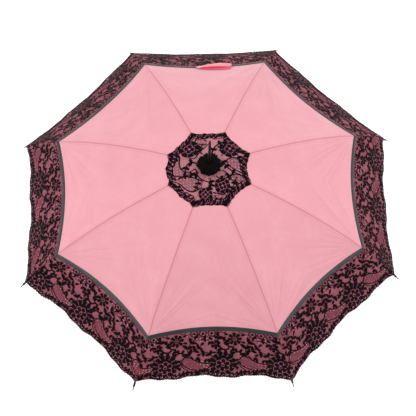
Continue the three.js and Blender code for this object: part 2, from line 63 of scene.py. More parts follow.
# ---- sizes the CAD has too
RIBS = 8
SECTOR = 2 * math.pi / RIBS
FIRST_RIB = SECTOR / 2
CANOPY_RADIUS = 440.0
CANOPY_RISE = 227.0
CROWN_SLOPE = math.radians(8.5)
TIP_SLOPE = math.radians(50.2)
TIP_LENGTH = 24.0
CLOTH_LIFT = 3.0
CLOTH_INNER = 14.0
GORE_HOLLOW = 5.0
HEM_ARCH = 8.0
FERRULE_HEIGHT = 115.0
CAP_REACH = 91.0
GRIP_LENGTH = 110.0
GRIP_RADIUS = 8.5
CROOK_RADIUS = 32.0
CROOK_END = 16.0
STRAP_DISTANCE = 120.0
STRAP_START = 0.27
STRAP_LENGTH = 78.0

# ---- sizes of the cloth and lace
CLOTH_THICK = 0.4
NET_LIFT = 0.45            # above the cloth
MOTIF_LIFT = 0.6           # above the cloth
RIBBON_RADIUS = 349.0      # axis to the ribbon's middle, on a rib
RIBBON_ARCH = 16.5         # how far the ribbon is cut up at the gore's middle
RIBBON_WIDTH = 10.0
RIBBON_LIFT = 0.35         # its edges above the cloth
RIBBON_THICK = 0.3
BORDER = 108.0             # hem to the ribbon's middle, in the lace's own pattern
REPEAT = 119.0             # one repeat of the lace
HEM_WAVE = 3.4
PINK_HEM = 5.0             # how far the pink cloth ends short of the lace
FIRST_PHASE = 20.0         # where a repeat's flower stands in the sixth gore, from its middle
PHASE_STEP = 39.0
LACE_REACH = 170.0         # more than half the widest gore
CLOTH_SHIFT = 400.0        # how far apart the gores lie on the cloth they are cut from
LACE_SHIFT = 300.0         # the same on the lace and the ribbon
SEAM_TURN = 2.4            # width of the cloth turned in at a seam
STITCH_ROW = 5.5           # stitches beside a seam
STITCH_PITCH = 2.6
SHARE_SCALE = 1000.0       # shares across a gore are cut at this scale
BLEND_ROW = 300.0          # where down the gore hang takes its rib and crease points

ferrule_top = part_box("ferrule")[1].z / MM
crown_point = ferrule_top - FERRULE_HEIGHT


# ---- the surface
shoulder = ((CANOPY_RADIUS * math.tan(TIP_SLOPE) - CANOPY_RISE)
            / (math.tan(TIP_SLOPE) - math.tan(CROWN_SLOPE)))
_t = np.linspace(0, 1, 6001)
_x = 2 * _t * (1 - _t) * shoulder + _t ** 2 * CANOPY_RADIUS
_y = -2 * _t * (1 - _t) * shoulder * math.tan(CROWN_SLOPE) - _t ** 2 * CANOPY_RISE
_arc = np.concatenate([[0], np.cumsum(np.hypot(np.diff(_x), np.diff(_y)))])
_tx, _ty = np.gradient(_x, _arc), np.gradient(_y, _arc)
RIB_ARC = float(_arc[-1])
HEM_CORNER = RIB_ARC - TIP_LENGTH


def at_radius(radius):
    """Distance down the rib curve at which it has a radius."""
    return float(np.interp(radius, _x, _arc))


RIBBON_CORNER = at_radius(RIBBON_RADIUS)
CLOTH_START = at_radius(CLOTH_INNER)
CREASE_CORNER = RIBBON_CORNER - 6      # where the tension folds start


def arch(a):
    return 4 * a * (1 - a)


def hem(a):
    return HEM_CORNER - HEM_ARCH * arch(a)


def ribbon_line(a):
    return RIBBON_CORNER - RIBBON_ARCH * arch(a)


def chord(d):
    """Width of a gore, rib to rib."""
    return 2 * np.interp(d, _arc, _x) * math.sin(SECTOR / 2)


def flat_uv(d, a, shift, y):
    """Where points of a gore lie on the cloth that they are cut from, in millimetres."""
    return np.stack(np.broadcast_arrays((a - 0.5) * chord(d) + shift, y), -1)


def fan(d, a, gore):
    """Soft tension folds that spread from the ribbon's corners up the gore, in millimetres of lift."""
    rng = np.random.default_rng(SEED + gore)
    lift = np.zeros(np.broadcast(d, a).shape)
    width = chord(d)
    for side in (a * width, (1 - a) * width):
        along = CREASE_CORNER - d
        far = np.hypot(side, along)
        angle = np.degrees(np.arctan2(side, along))
        for middle in (7, 16, 27, 41, 58):
            middle = middle + rng.uniform(-3, 3)
            spread = rng.uniform(1.5, 2.6)
            size = rng.uniform(1.0, 2.4)
            reach = rng.uniform(90, 190)
            rise = np.clip(far / 30, 0, 1) * np.clip(1 - far / reach, 0, 1)
            lift = lift + size * rise * np.exp(-((angle - middle) / spread) ** 2) * (along > -2)
    return lift


def ripple(d, a, gore):
    """Lift of the cloth's face over the plain surface: the seam's ridge, its puckers and the tension folds."""
    width = chord(d)
    side = np.minimum(a, 1 - a) * width
    ridge = 0.55 * np.exp(-(side / 2.2) ** 2)
    pucker = 0.16 * np.sin(d / 3.1 + gore) * np.exp(-((side - 5) / 4.5) ** 2)
    broad = 0.8 * np.sin(d / 41 + 1.7 * gore) * np.sin(math.pi * a) ** 2 * np.clip(d / 200, 0, 1)
    return ridge + pucker + broad + fan(d, a, gore)


def place(d, a, lift, gore, fine=True):
    """Points in millimetres of a gore, 1 to 8, turned to its azimuth."""
    d, a, lift = np.broadcast_arrays(np.asarray(d, float), np.asarray(a, float), np.asarray(lift, float))
    if fine:
        lift = lift + ripple(d, a, gore)
    tx, ty = np.interp(d, _arc, _tx), np.interp(d, _arc, _ty)
    x = np.interp(d, _arc, _x) - ty * lift
    y = np.interp(d, _arc, _y) + tx * lift
    beyond = np.clip(d - RIB_ARC, 0, None)
    x, y = x + tx * beyond, y + ty * beyond
    hollow = GORE_HOLLOW * (x / CANOPY_RADIUS) * arch(a)
    inward = hollow * -ty
    px = x * (1 - a) + x * math.cos(SECTOR) * a - inward * math.cos(SECTOR / 2)
    py = x * math.sin(SECTOR) * a - inward * math.sin(SECTOR / 2)
    pz = crown_point + y - hollow * tx
    turn = FIRST_RIB + (gore - 1) * SECTOR
    c, s = math.cos(turn), math.sin(turn)
    return np.stack([c * px - s * py, s * px + c * py, pz], -1)


# ---- meshes
def new_object(name, points, faces, material, uvs=None, indices=None):
    """A mesh piece from points in millimetres. uvs maps a layer's name to one pair of numbers per point."""
    mesh = bpy.data.meshes.new(name)
    mesh.from_pydata((np.asarray(points).reshape(-1, 3) * MM).tolist(), [], faces)
    corner_points = np.zeros(len(mesh.loops), np.int32)
    mesh.loops.foreach_get("vertex_index", corner_points)
    for layer, pairs in (uvs or {}).items():
        uv = mesh.uv_layers.new(name=layer)
        uv.data.foreach_set("uv", np.asarray(pairs, np.float32).reshape(-1, 2)[corner_points].ravel())
    for one in material if isinstance(material, (list, tuple)) else [material]:
        mesh.materials.append(one)
    if indices is not None:
        mesh.polygons.foreach_set("material_index", np.asarray(indices, np.int32))
    mesh.polygons.foreach_set("use_smooth", np.full(len(mesh.polygons), True))
    mesh.update()
    thing = bpy.data.objects.new(name, mesh)
    bpy.context.scene.collection.objects.link(thing)
    return thing


def grid_faces(rows, columns, first=0, flip=False, wrap=False):
    faces = []
    for i in range(rows - 1):
        for j in range(columns - (0 if wrap else 1)):
            k = (j + 1) % columns
            face = (first + i * columns + j, first + i * columns + k,
                    first + (i + 1) * columns + k, first + (i + 1) * columns + j)
            faces.append(face[::-1] if flip else face)
    return faces


def closed_sheet(name, top, under, material, uvs):
    """A thin closed sheet from two grids of points. Its rim is marked sharp, so each side shades as one cloth."""
    rows, columns = top.shape[:2]
    count = rows * columns
    faces = grid_faces(rows, columns) + grid_faces(rows, columns, count, True)
    index = np.arange(count).reshape(rows, columns)
    ring = np.concatenate([index[0], index[1:, -1], index[-1, -2::-1], index[-2:0:-1, 0]]).tolist()
    for here, after in zip(ring, ring[1:] + ring[:1]):
        faces.append((here, here + count, after + count, after))
    doubled = {layer: np.concatenate([pairs.reshape(-1, 2)] * 2) for layer, pairs in uvs.items()}
    thing = new_object(name, np.concatenate([top.reshape(-1, 3), under.reshape(-1, 3)]), faces, material, doubled)
    on_rim = {*ring, *(k + count for k in ring)}
    for edge in thing.data.edges:
        edge.use_edge_sharp = on_rim.issuperset(edge.vertices)
    return thing


def hang(piece, gore, half, a):
    """Bakes the piece's placement into its points; points at its rib and crease and weights from a are worked out but
    not used. a is each point's share across the gore.
    """
    edge = 0 if half == "first" else 1
    start = place(BLEND_ROW, edge, 0, gore, False) * MM
    end = place(BLEND_ROW, 0.5, 0, gore, False) * MM
    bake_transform(piece)
    weights = np.clip(2 * np.minimum(a, 1 - a), 0, 1).astype(np.float32).ravel()


def halves():
    for gore in range(1, RIBS + 1):
        yield gore, "first", 0.0, 0.5
        yield gore, "second", 0.5, 1.0


def turned(name, profile, material, steps=48, matrix=None, wave=None):
    """A turned piece from (radius, height) pairs; wave(angle, row) gives a factor on the radius and a rise."""
    points, faces = [], []
    angles = np.arange(steps) * 2 * math.pi / steps
    rows = []
    for row, (radius, height) in enumerate(profile):
        if radius < 1e-6:
            rows.append([len(points)])
            points.append((0, 0, height))
            continue
        rows.append(list(range(len(points), len(points) + steps)))
        for angle in angles:
            factor, rise = wave(angle, row) if wave else (1, 0)
            points.append((radius * factor * math.cos(angle), radius * factor * math.sin(angle), height + rise))
    for low, high in zip(rows, rows[1:]):
        for j in range(steps):
            k = (j + 1) % steps
            if len(low) == 1:
                faces.append((low[0], high[k], high[j]))
            elif len(high) == 1:
                faces.append((low[j], low[k], high[0]))
            else:
                faces.append((low[j], low[k], high[k], high[j]))
    points = np.array(points, float)
    if matrix is not None:
        points = points @ np.array(matrix.to_3x3()).T + np.array(matrix.translation)
    return new_object(name, points, faces, material)


def rounded(corners, radius=0.5, steps=4):
    """A profile with its inner corners rounded off."""
    out = [corners[0]]
    for before, here, after in zip(corners, corners[1:], corners[2:]):
        before, here, after = Vector(before), Vector(here), Vector(after)
        reach = min(radius, (here - before).length / 2.2, (after - here).length / 2.2)
        start = here + (before - here).normalized() * reach
        end = here + (after - here).normalized() * reach
        for k in range(steps + 1):
            t = k / steps
            out.append(tuple(start * (1 - t) ** 2 + here * 2 * t * (1 - t) + end * t ** 2))
    out.append(corners[-1])
    return out


# ---- materials
BLACK, WHITE = (0, 0, 0, 1), (1, 1, 1, 1)


class Value:
    """An output in a material's node tree. Arithmetic with it adds math nodes."""

    def __init__(self, nodes, socket):
        self.nodes, self.socket = nodes, socket

    def clamp(self):
        self.socket.node.use_clamp = True
        return self

    def __rsub__(self, other):
        return self.nodes.math("SUBTRACT", other, self)

    def __abs__(self):
        return self.nodes.math("ABSOLUTE", self)


for word, sign in (("ADD", "add"), ("SUBTRACT", "sub"), ("MULTIPLY", "mul"), ("DIVIDE", "truediv"), ("POWER", "pow")):
    setattr(Value, f"__{sign}__", lambda one, other, word=word: one.nodes.math(word, one, other))


class Nodes:
    """A material's node tree with short ways to add and join nodes."""

    def __init__(self, name, **sockets):
        self.material = bpy.data.materials.new(name)
        self.material.use_nodes = True
        self.tree = self.material.node_tree
        self.shader = self.tree.nodes["Principled BSDF"]
        for socket, value in sockets.items():
            self.set(socket.replace("_", " "), value)

    def put(self, socket, value):
        if isinstance(value, Value):
            self.tree.links.new(value.socket, socket)
        else:
            socket.default_value = value

    def set(self, socket, value):
        self.put(self.shader.inputs[socket], value)

    def add(self, kind, output, inputs=None, **settings):
        """A new node's output. inputs are put by name or number, after the settings."""
        node = self.tree.nodes.new("ShaderNode" + kind)
        for key, value in settings.items():
            setattr(node, key, value)
        for key, value in (inputs or {}).items():
            self.put(node.inputs[key], value)
        return Value(self, node.outputs[output])

    def math(self, operation, *values):
        return self.add("Math", 0, dict(enumerate(values)), operation=operation)

    def mix(self, factor, one, other):
        return self.add("Mix", "Result", {"Factor": factor, "A": one, "B": other}, data_type="RGBA")

    def ramp(self, value, *stops):
        colour = self.add("ValToRGB", "Color", {"Fac": value})
        elements = colour.socket.node.color_ramp.elements
        while len(elements) < len(stops):
            elements.new(0.5)
        for element, (position, shade) in zip(elements, stops):
            element.position, element.color = position, shade
        return colour

    def fade(self, value, low, high):
        """Black at low, white at high."""
        return self.ramp(value, (low, BLACK), (high, WHITE))

    def noise(self, vector, scale, detail=3.0, roughness=0.5, distortion=0.0):
        """Noise at one scale, or at a scale for each direction."""
        if isinstance(scale, tuple):
            vector, scale = self.stretch(vector, scale), 1.0
        return self.add("TexNoise", "Fac", {"Vector": vector, "Scale": scale, "Detail": detail,
                                            "Roughness": roughness, "Distortion": distortion})

    def wave(self, vector, scale, direction="X", distortion=0.0):
        return self.add("TexWave", "Fac", {"Vector": vector, "Scale": scale, "Distortion": distortion},
                        bands_direction=direction)

    def cells(self, vector, scale, randomness, **settings):
        """Distance in a cell pattern with a scale for each direction."""
        return self.add("TexVoronoi", "Distance", {"Vector": self.stretch(vector, scale), "Scale": 1.0,
                                                   "Randomness": randomness}, **settings)

    def uv(self, layer):
        return self.add("UVMap", "UV", uv_map=layer)

    def where(self):
        return self.add("TexCoord", "Object")

    def stretch(self, vector, scale):
        return self.add("Mapping", "Vector", {"Vector": vector, "Scale": scale})

    def split(self, vector):
        node = self.add("SeparateXYZ", 0, {"Vector": vector}).socket.node
        return [Value(self, output) for output in node.outputs]

    def bump(self, height, distance, strength):
        self.set("Normal", self.add("Bump", "Normal", {"Height": height, "Distance": distance, "Strength": strength}))


def srgb(*levels):
    """A colour from display values, 0 to 255."""
    shares = [level / 255 for level in levels]
    return (*(v / 12.92 if v <= 0.04045 else ((v + 0.055) / 1.055) ** 2.4 for v in shares), 1.0)


def pink_cloth():
    """Plain weave with slubs and faint patches, a stitched seam with painted shade where the cloth turns in, and
    creases from the ribbon's corners with painted shade in them.
    """
    m = Nodes("pink_cloth", Sheen_Weight=0.35, Sheen_Roughness=0.45, Specular_IOR_Level=0.5)
    cloth = m.uv("cloth")
    side, along, _ = m.split(m.uv("seam"))
    slubs = m.noise(cloth, (0.9, 0.05, 1), 2.0)
    patches = m.noise(cloth, (0.02, 0.02, 1))
    tone = m.mix(m.fade(slubs, 0.35, 0.7), srgb(231, 157, 168), srgb(237, 168, 177))
    tone = m.mix(m.fade(patches, 0.35, 0.65) * 0.5, tone, srgb(228, 151, 163))
    # The seam carries painted shade where the cloth turns in, with a row of stitches beside it.
    seam_fold_shade = (1.0 - (side / SEAM_TURN) ** 3.0).clamp()
    row = (1.0 - abs(side - STITCH_ROW)).clamp()
    dash = m.math("GREATER_THAN", m.math("FRACT", along / STITCH_PITCH), 0.3)
    stitch = row * dash * 0.55
    tone = m.mix(seam_fold_shade * 0.7, tone, srgb(204, 112, 127))
    tone = m.mix(stitch, tone, srgb(206, 126, 138))
    # Painted shade darkens the tension creases that spread from the ribbon's corners; the same mask also dents the
    # bump.
    drop = CREASE_CORNER - along
    reach = m.math("SQRT", side * side + drop * drop)
    gore = m.math("ROUND", m.split(cloth)[0] / CLOTH_SHIFT)
    spoke = m.add("CombineXYZ", "Vector", {"X": m.math("ARCTAN2", side, drop) * 11.0, "Y": reach * 0.004,
                                           "Z": gore * 7.3})
    near = (reach / 35.0).clamp() * (1.0 - reach / 190.0).clamp()
    crease_and_shade = near * m.fade(m.noise(spoke, 1.0, 3.0, 0.6), 0.5, 0.66)
    m.set("Base Color", m.mix(crease_and_shade * 0.55, tone, srgb(216, 136, 150)))
    weave = m.wave(cloth, 0.28, "X") + m.wave(cloth, 0.28, "Y")
    m.bump(weave * 0.4 + (slubs * 0.8 + stitch * 1.5) - crease_and_shade * 5.0, 0.00012, 0.6)
    m.set("Roughness", slubs * 0.16 + 0.62)
    return m.material


def net(name, tone, solid, open_share):
    """Knitted net: round holes between threads. solid is the alpha of a thread, open_share that of a hole."""
    m = Nodes(name, Roughness=0.9, Specular_IOR_Level=0.03)
    lace = m.uv("lace")
    threads = m.ramp(m.cells(lace, (0.62, 0.54, 1), 0.25, feature="DISTANCE_TO_EDGE"), (0.10, WHITE), (0.24, BLACK))
    uneven = m.noise(lace, (0.08, 0.08, 1), 2.0)
    m.set("Alpha", ((threads * (solid - open_share) + open_share) * (uneven * 0.5 + 0.75)).clamp())
    m.set("Base Color", m.mix(uneven, tone, tuple(0.55 * c for c in tone[:3]) + (1,)))
    m.bump(threads, 0.0002, 0.5)
    return m.material


def dotted_net():
    """The denser shaded net of the lace, with rows of small pale dots."""
    m = Nodes("shaded_net", Roughness=0.9, Specular_IOR_Level=0.03)
    lace = m.uv("lace")
    dot = m.ramp(m.cells(lace, (0.15, 0.15, 1), 0.3, feature="F1", voronoi_dimensions="2D"),
                 (0.15, WHITE), (0.23, BLACK))
    grain = m.noise(lace, (1.1, 1.1, 1), 2.0)
    m.set("Alpha", (grain * 0.25 + 0.13 + dot * 0.75).clamp())
    # The threads' wine red is painted pink bounce light from the cloth under the black lace.
    m.set("Base Color", m.mix(dot, m.mix(grain, srgb(70, 8, 30), srgb(100, 20, 46)), srgb(222, 154, 168)))
    m.bump(grain, 0.0002, 0.4)
    return m.material


def thread(name, dark, light, roughness=0.62):
    """Satin-stitched cord: fine parallel threads with a soft shine."""
    m = Nodes(name, Sheen_Weight=0.02, Sheen_Roughness=0.4, Specular_IOR_Level=0.06)
    lace = m.uv("lace")
    lines = m.wave(lace, 0.45, "DIAGONAL", 1.5)
    grain = m.noise(lace, (0.7, 0.7, 1))
    m.set("Base Color", m.mix(lines * grain, dark, light))
    m.set("Roughness", grain * 0.2 + roughness)
    m.bump(lines + grain, 0.00025, 0.6)
    return m.material


def satin(name, dark, middle, light, roughness=0.3, streak=(0.02, 1.6, 1)):
    """Satin ribbon: long soft streaks, fine ribs across and a bright sheen."""
    m = Nodes(name, Sheen_Weight=0.1, Sheen_Roughness=0.35, Anisotropic=0.5, Specular_IOR_Level=0.55)
    cloth = m.uv("cloth")
    streaks = m.noise(cloth, streak)
    broad = m.noise(cloth, (0.035, 0.12, 1), 2.0)
    tone = m.ramp(streaks, (0.32, dark), (0.5, middle), (0.72, light))
    m.set("Base Color", m.mix(broad * 0.6, tone, middle))
    m.set("Roughness", streaks * 0.22 + roughness)
    m.bump(m.wave(cloth, 0.35) * 0.5 + streaks, 0.0002, 0.5)
    return m.material


def gathered_cloth():
    m = Nodes("black_cloth", Sheen_Weight=0.01, Sheen_Roughness=0.5, Specular_IOR_Level=0.05)
    weave = m.noise(m.where(), 2200.0, 2.0)
    folds = m.noise(m.where(), 90.0)
    m.set("Base Color", m.mix(folds, srgb(5, 4, 5), srgb(17, 14, 17)))
    m.set("Roughness", weave * 0.2 + 0.7)
    m.bump(weave + folds * 2, 0.0004, 0.6)
    return m.material


def lacquer():
    """Turned wood under dark red-brown lacquer, rubbed dull in places."""
    m = Nodes("dark_lacquer", Coat_Weight=0.3, Coat_Roughness=0.1, Specular_IOR_Level=0.3)
    where = m.where()
    grain = m.noise(where, (420, 420, 28), 6.0, 0.6, 0.6)
    rings = m.wave(m.stretch(where, (1, 1, 0.12)), 60.0, "X", 6.0)
    worn = m.noise(where, 180.0, 5.0)
    tone = m.ramp(grain * 0.7 + rings * 0.3, (0.3, srgb(12, 4, 5)), (0.55, srgb(28, 9, 10)), (0.8, srgb(52, 18, 16)))
    m.set("Base Color", m.mix(m.fade(worn, 0.62, 0.78) * 0.5, tone, srgb(28, 9, 10)))
    m.set("Roughness", worn * 0.22 + 0.22)
    m.bump(grain, 0.00015, 0.35)
    return m.material


def metal(name, dark, light, roughness):
    """Plated metal: fine brushed lines, small dull patches and dust-like wear."""
    m = Nodes(name, Metallic=1.0, Anisotropic=0.3)
    where = m.where()
    lines = m.noise(m.stretch(where, (1, 1, 0.06)), 900.0, 4.0)
    wear = m.fade(m.noise(where, 420.0, 6.0), 0.58, 0.74)
    tone = m.mix(m.noise(where, 60.0, 4.0), dark, light)
    m.set("Base Color", m.mix(wear * 0.35, tone, tuple(min(1, 1.5 * c) for c in light[:3]) + (1,)))
    m.set("Roughness", lines * 0.25 + (wear * 0.12 + roughness))
    m.bump(lines, 0.00008, 0.4)
    return m.material


def plastic(name, dark, light, roughness, gloss=0.5):
    """Moulded or enamelled black: a fine orange-peel surface with scuffs."""
    m = Nodes(name, Specular_IOR_Level=gloss)
    where = m.where()
    scuffs = m.fade(m.noise(m.stretch(where, (1, 1, 0.2)), 500.0, 6.0), 0.55, 0.72)
    m.set("Base Color", m.mix(scuffs * 0.5, dark, light))
    m.set("Roughness", scuffs * 0.2 + roughness)
    m.bump(m.noise(where, 1500.0, 2.0), 0.0001, 0.3)
    return m.material


PINK = pink_cloth()
# The nets' wine red stands in for pink light from the cloth bleeding into the black threads: painted bounce light.
NET = net("lace_net", srgb(122, 10, 46), 0.70, 0.26)
CAP_NET = net("cap_net", srgb(118, 14, 46), 0.42, 0.12)
LACE_THREADS = [thread("lace_cord", srgb(7, 3, 7), srgb(27, 16, 23)),
                thread("lace_picot", srgb(70, 64, 74), srgb(128, 122, 134), 0.5),
                dotted_net(),
                thread("lace_outline", srgb(152, 80, 96), srgb(204, 130, 146), 0.7)]
CORD, PICOT, SHADED, PALE = range(4)   # places in LACE_THREADS
KIND_LIFT = {SHADED: -0.08, PALE: 0.36}
RIBBON = satin("ribbon_satin", srgb(22, 20, 23), srgb(38, 37, 40), srgb(66, 66, 70), 0.34, (0.03, 0.9, 1))
# The strap is one folded satin: the upper layer's lighter copy is painted light on the fold that faces up, the under
# layer's deeper pink painted shade.
STRAP = satin("strap_satin", srgb(222, 52, 84), srgb(236, 76, 102), srgb(246, 120, 136))
STRAP_LIT_COPY = satin("strap_satin_lit_copy", srgb(238, 96, 116), srgb(244, 130, 142), srgb(250, 168, 176))
ROSETTE = gathered_cloth()
LACQUER = lacquer()
ENAMEL = plastic("shaft_enamel", srgb(24, 21, 24), srgb(58, 54, 58), 0.24, 0.6)
NYLON = plastic("black_nylon", srgb(22, 20, 22), srgb(50, 48, 52), 0.42)
STEEL = metal("bright_steel", srgb(168, 168, 172), srgb(202, 203, 208), 0.24)
DARK_STEEL = metal("dark_steel", srgb(52, 50, 56), srgb(84, 82, 90), 0.34)
NICKEL = metal("nickel_plate", srgb(186, 182, 176), srgb(220, 217, 212), 0.18)

# ---- pink cloth
ROWS, COLUMNS = 92, 27
for gore, half, low, high in halves():
    a = np.tile(np.linspace(low, high, COLUMNS), (ROWS, 1))
    d = CLOTH_START + np.linspace(0, 1, ROWS)[:, None] * (hem(a) - PINK_HEM - CLOTH_START)
    side = np.minimum(a, 1 - a) * chord(d)
    panel = closed_sheet(f"canopy_panel_{gore}_{half}", place(d, a, CLOTH_LIFT, gore),
                         place(d, a, CLOTH_LIFT - CLOTH_THICK, gore), PINK,
                         {"cloth": flat_uv(d, a, CLOTH_SHIFT * gore, d), "seam": np.stack([side, d], -1)})
    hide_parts(f"gore_{gore}_{half}_half")
    hang(panel, gore, half, a)

# ---- ribbon over the lace's upper edge
section = np.linspace(-0.5, 0.5, 9)[:, None]
for gore, half, low, high in halves():
    a = np.tile(np.linspace(low, high, 40), (len(section), 1))
    d = ribbon_line(a) + section * RIBBON_WIDTH
    lift = CLOTH_LIFT + RIBBON_LIFT + 0.9 * (1 - (2 * np.abs(section)) ** 3)
    ribbon = closed_sheet(f"ribbon_{gore}_{half}", place(d, a, lift, gore), place(d, a, lift - RIBBON_THICK, gore),
                          RIBBON, {"cloth": flat_uv(d, a, LACE_SHIFT * gore, section * RIBBON_WIDTH)})
    hang(ribbon, gore, half, a)
    length = float(chord(ribbon_line(0.25))) / 2 + 6


# ---- lace patterns, drawn flat
class Pattern:
    """Stitched strokes of a lace, in millimetres: x across, y up. kind is a place in LACE_THREADS."""

    def __init__(self):
        self.points, self.faces, self.kinds = [], [], []

    def stroke(self, line, widths, kind=CORD, crown=0.35, closed=False):
        line = np.asarray(line, float)
        widths = np.broadcast_to(np.asarray(widths, float), (len(line),))
        if closed:
            tangent = np.roll(line, -1, 0) - np.roll(line, 1, 0)
        else:
            tangent = np.gradient(line, axis=0)
        tangent = tangent / np.maximum(np.linalg.norm(tangent, axis=1, keepdims=True), 1e-9)
        normal = np.stack([-tangent[:, 1], tangent[:, 0]], -1)
        first = len(self.points)
        for point, across, width in zip(line, normal, widths):
            high = crown * min(1, width / 2.5)
            left, right = point + across * width / 2, point - across * width / 2
            self.points += [(*left, 0), (*point, high), (*right, 0)]
        count = len(line)
        for i in range(count if closed else count - 1):
            here, after = first + 3 * i, first + 3 * ((i + 1) % count)
            self.faces += [(here, here + 1, after + 1, after), (here + 1, here + 2, after + 2, after + 1)]
            self.kinds += [kind, kind]

    def path(self, corners, width, kind=CORD, steps=5, taper=0.35, crown=0.35):
        """A smooth stroke through a few corners, thinner at both ends."""
        line = smooth_line(corners, steps)
        t = np.linspace(0, 1, len(line))
        self.stroke(line, width * (taper + (1 - taper) * np.sin(math.pi * np.clip(t, 0.02, 0.98)) ** 0.5), kind, crown)

    def blade(self, x, y, angle, along, off, widths):
        """A stroke from x, y: along its heading and off to its left."""
        c, s = math.cos(math.radians(angle)), math.sin(math.radians(angle))
        self.stroke(np.stack([x + c * along - s * off, y + s * along + c * off], -1), widths)

    def leaf(self, x, y, angle, length, width, bend=0.12):
        """A pointed leaf from its foot, with a slight bend."""
        t = np.array([0, 0.18, 0.42, 0.68, 0.88, 1.0])
        self.blade(x, y, angle, t * length, bend * length * t * (1 - t) * 4,
                   width * np.array([0.12, 0.66, 1.0, 0.86, 0.5, 0.06]))

    def leaves(self, spots, length=9.5, width=5.4):
        for x, y, angle in spots:
            self.leaf(x, y, angle, length, width)

    def petal(self, x, y, angle, inner, outer, width):
        """A round-ended petal of a flower whose centre is at x, y."""
        t = np.array([0, 0.3, 0.6, 0.82, 0.95, 1.0])
        self.blade(x, y, angle, inner + t * (outer - inner), 0 * t,
                   width * np.array([0.46, 0.68, 0.9, 0.97, 0.7, 0.2]))

    def arc(self, x, y, across, tall, low, high, steps, width, kind=CORD, crown=0.35, closed=False):
        """Part of an ellipse between two angles in degrees."""
        angles = np.radians(np.linspace(low, high, steps, endpoint=not closed))
        self.stroke(np.stack([x + across * np.cos(angles), y + tall * np.sin(angles)], -1), width, kind, crown, closed)

    def ring(self, x, y, radius, width, squeeze=1.0, steps=14):
        self.arc(x, y, radius, squeeze * radius, 0, 360, steps, width, closed=True)

    def dot(self, x, y, radius):
        t = np.linspace(-0.97, 0.97, 5)
        self.stroke(np.stack([x + radius * t, y + 0 * t], -1), 2 * radius * np.sqrt(1 - t ** 2))

    def fill(self, one, other, steps=4):
        """Shaded net between two smooth lines with as many corners each, and a cord along both."""
        one, other = smooth_line(one, steps), smooth_line(other, steps)
        first = len(self.points)
        for here, there in zip(one, other):
            self.points += [(*here, 0), (*there, 0)]
        for i in range(len(one) - 1):
            k = first + 2 * i
            self.faces.append((k, k + 1, k + 3, k + 2))
            self.kinds.append(SHADED)
        self.stroke(one, 2.6)
        self.stroke(other, 2.4)

    def sprig(self, corners, length, width, pairs, stem=1.8):
        """A stem with leaves on both sides and one at its end."""
        line = smooth_line(corners, 5)
        self.stroke(line, stem)
        for k in range(pairs):
            i = round((k + 0.6) * (len(line) - 2) / pairs)
            ahead = line[min(i + 1, len(line) - 1)] - line[i]
            heading = math.degrees(math.atan2(ahead[1], ahead[0]))
            shrink = 1 - 0.07 * k
            self.leaf(*line[i], heading + 56, length * shrink, width * shrink, -0.1)
            self.leaf(*line[i], heading - 52, length * shrink * 0.94, width * shrink * 0.94, 0.1)
        ahead = line[-1] - line[-2]
        self.leaf(*line[-1], math.degrees(math.atan2(ahead[1], ahead[0])), length * 0.8, width * 0.8)

    def outline(self, corners, width=1.2, steps=4):
        """A pale thread that runs over the cords."""
        self.stroke(smooth_line(corners, steps), width, PALE, 0.12)

    def rose(self, x, y, size, turn, petals=9, inner=5, squint=0.0):
        """A full flower: broad petals that touch, pale outlines over them and a small curl set off its middle."""
        step = 2 * math.pi / petals
        start = math.radians(turn)
        for k in range(petals):
            self.petal(x, y, turn + math.degrees(step) * k, size * 0.1, size * (1.0 + 0.07 * (k % 2)),
                       2 * size * math.sin(step / 2) * 1.06)
        for k in range(petals):
            angle = start + step * (k + 0.5)
            self.outline([(x + size * r * math.cos(angle + o), y + size * r * math.sin(angle + o))
                          for r, o in ((0.58 + 0.16 * math.sin(2.4 * k) ** 2, 0.05), (0.8, -0.04), (0.97, 0.0))],
                         0.85, 3)
        arc = 2 * math.pi / inner
        for k in range(inner):
            angle = start + 0.4 + arc * k
            self.outline([(x + size * r * math.cos(angle + arc * o), y + size * r * math.sin(angle + arc * o) - squint)
                          for r, o in ((0.30, 0.0), (0.50, 0.12), (0.58, 0.5), (0.50, 0.88), (0.30, 1.0))], 1.0, 3)
        self.arc(x, y - squint, 0.13 * size, 0.13 * size, 0, 360, 9, 0.9, PALE, 0.12)

    def arrays(self):
        return np.array(self.points, float), self.faces, np.array(self.kinds)


def smooth_line(corners, steps=5):
    """A Catmull-Rom line through corners."""
    p = np.asarray(corners, float)
    p = np.vstack([2 * p[0] - p[1], p, 2 * p[-1] - p[-2]])
    out = []
    for i in range(1, len(p) - 2):
        for t in np.linspace(0, 1, steps, endpoint=False):
            a, b, c, e = p[i - 1], p[i], p[i + 1], p[i + 2]
            out.append(0.5 * (2 * b + (c - a) * t + (2 * a - 5 * b + 4 * c - e) * t ** 2
                              + (3 * b - a - 3 * c + e) * t ** 3))
    out.append(p[-2])
    return np.array(out)


def hem_low(x):
    """The lace's wavy lower edge, x from a big flower."""
    return -1.0 - HEM_WAVE * np.cos(2 * np.pi * (x - 12) / REPEAT) + 1.1 * np.cos(6 * np.pi * (x - 5) / REPEAT)


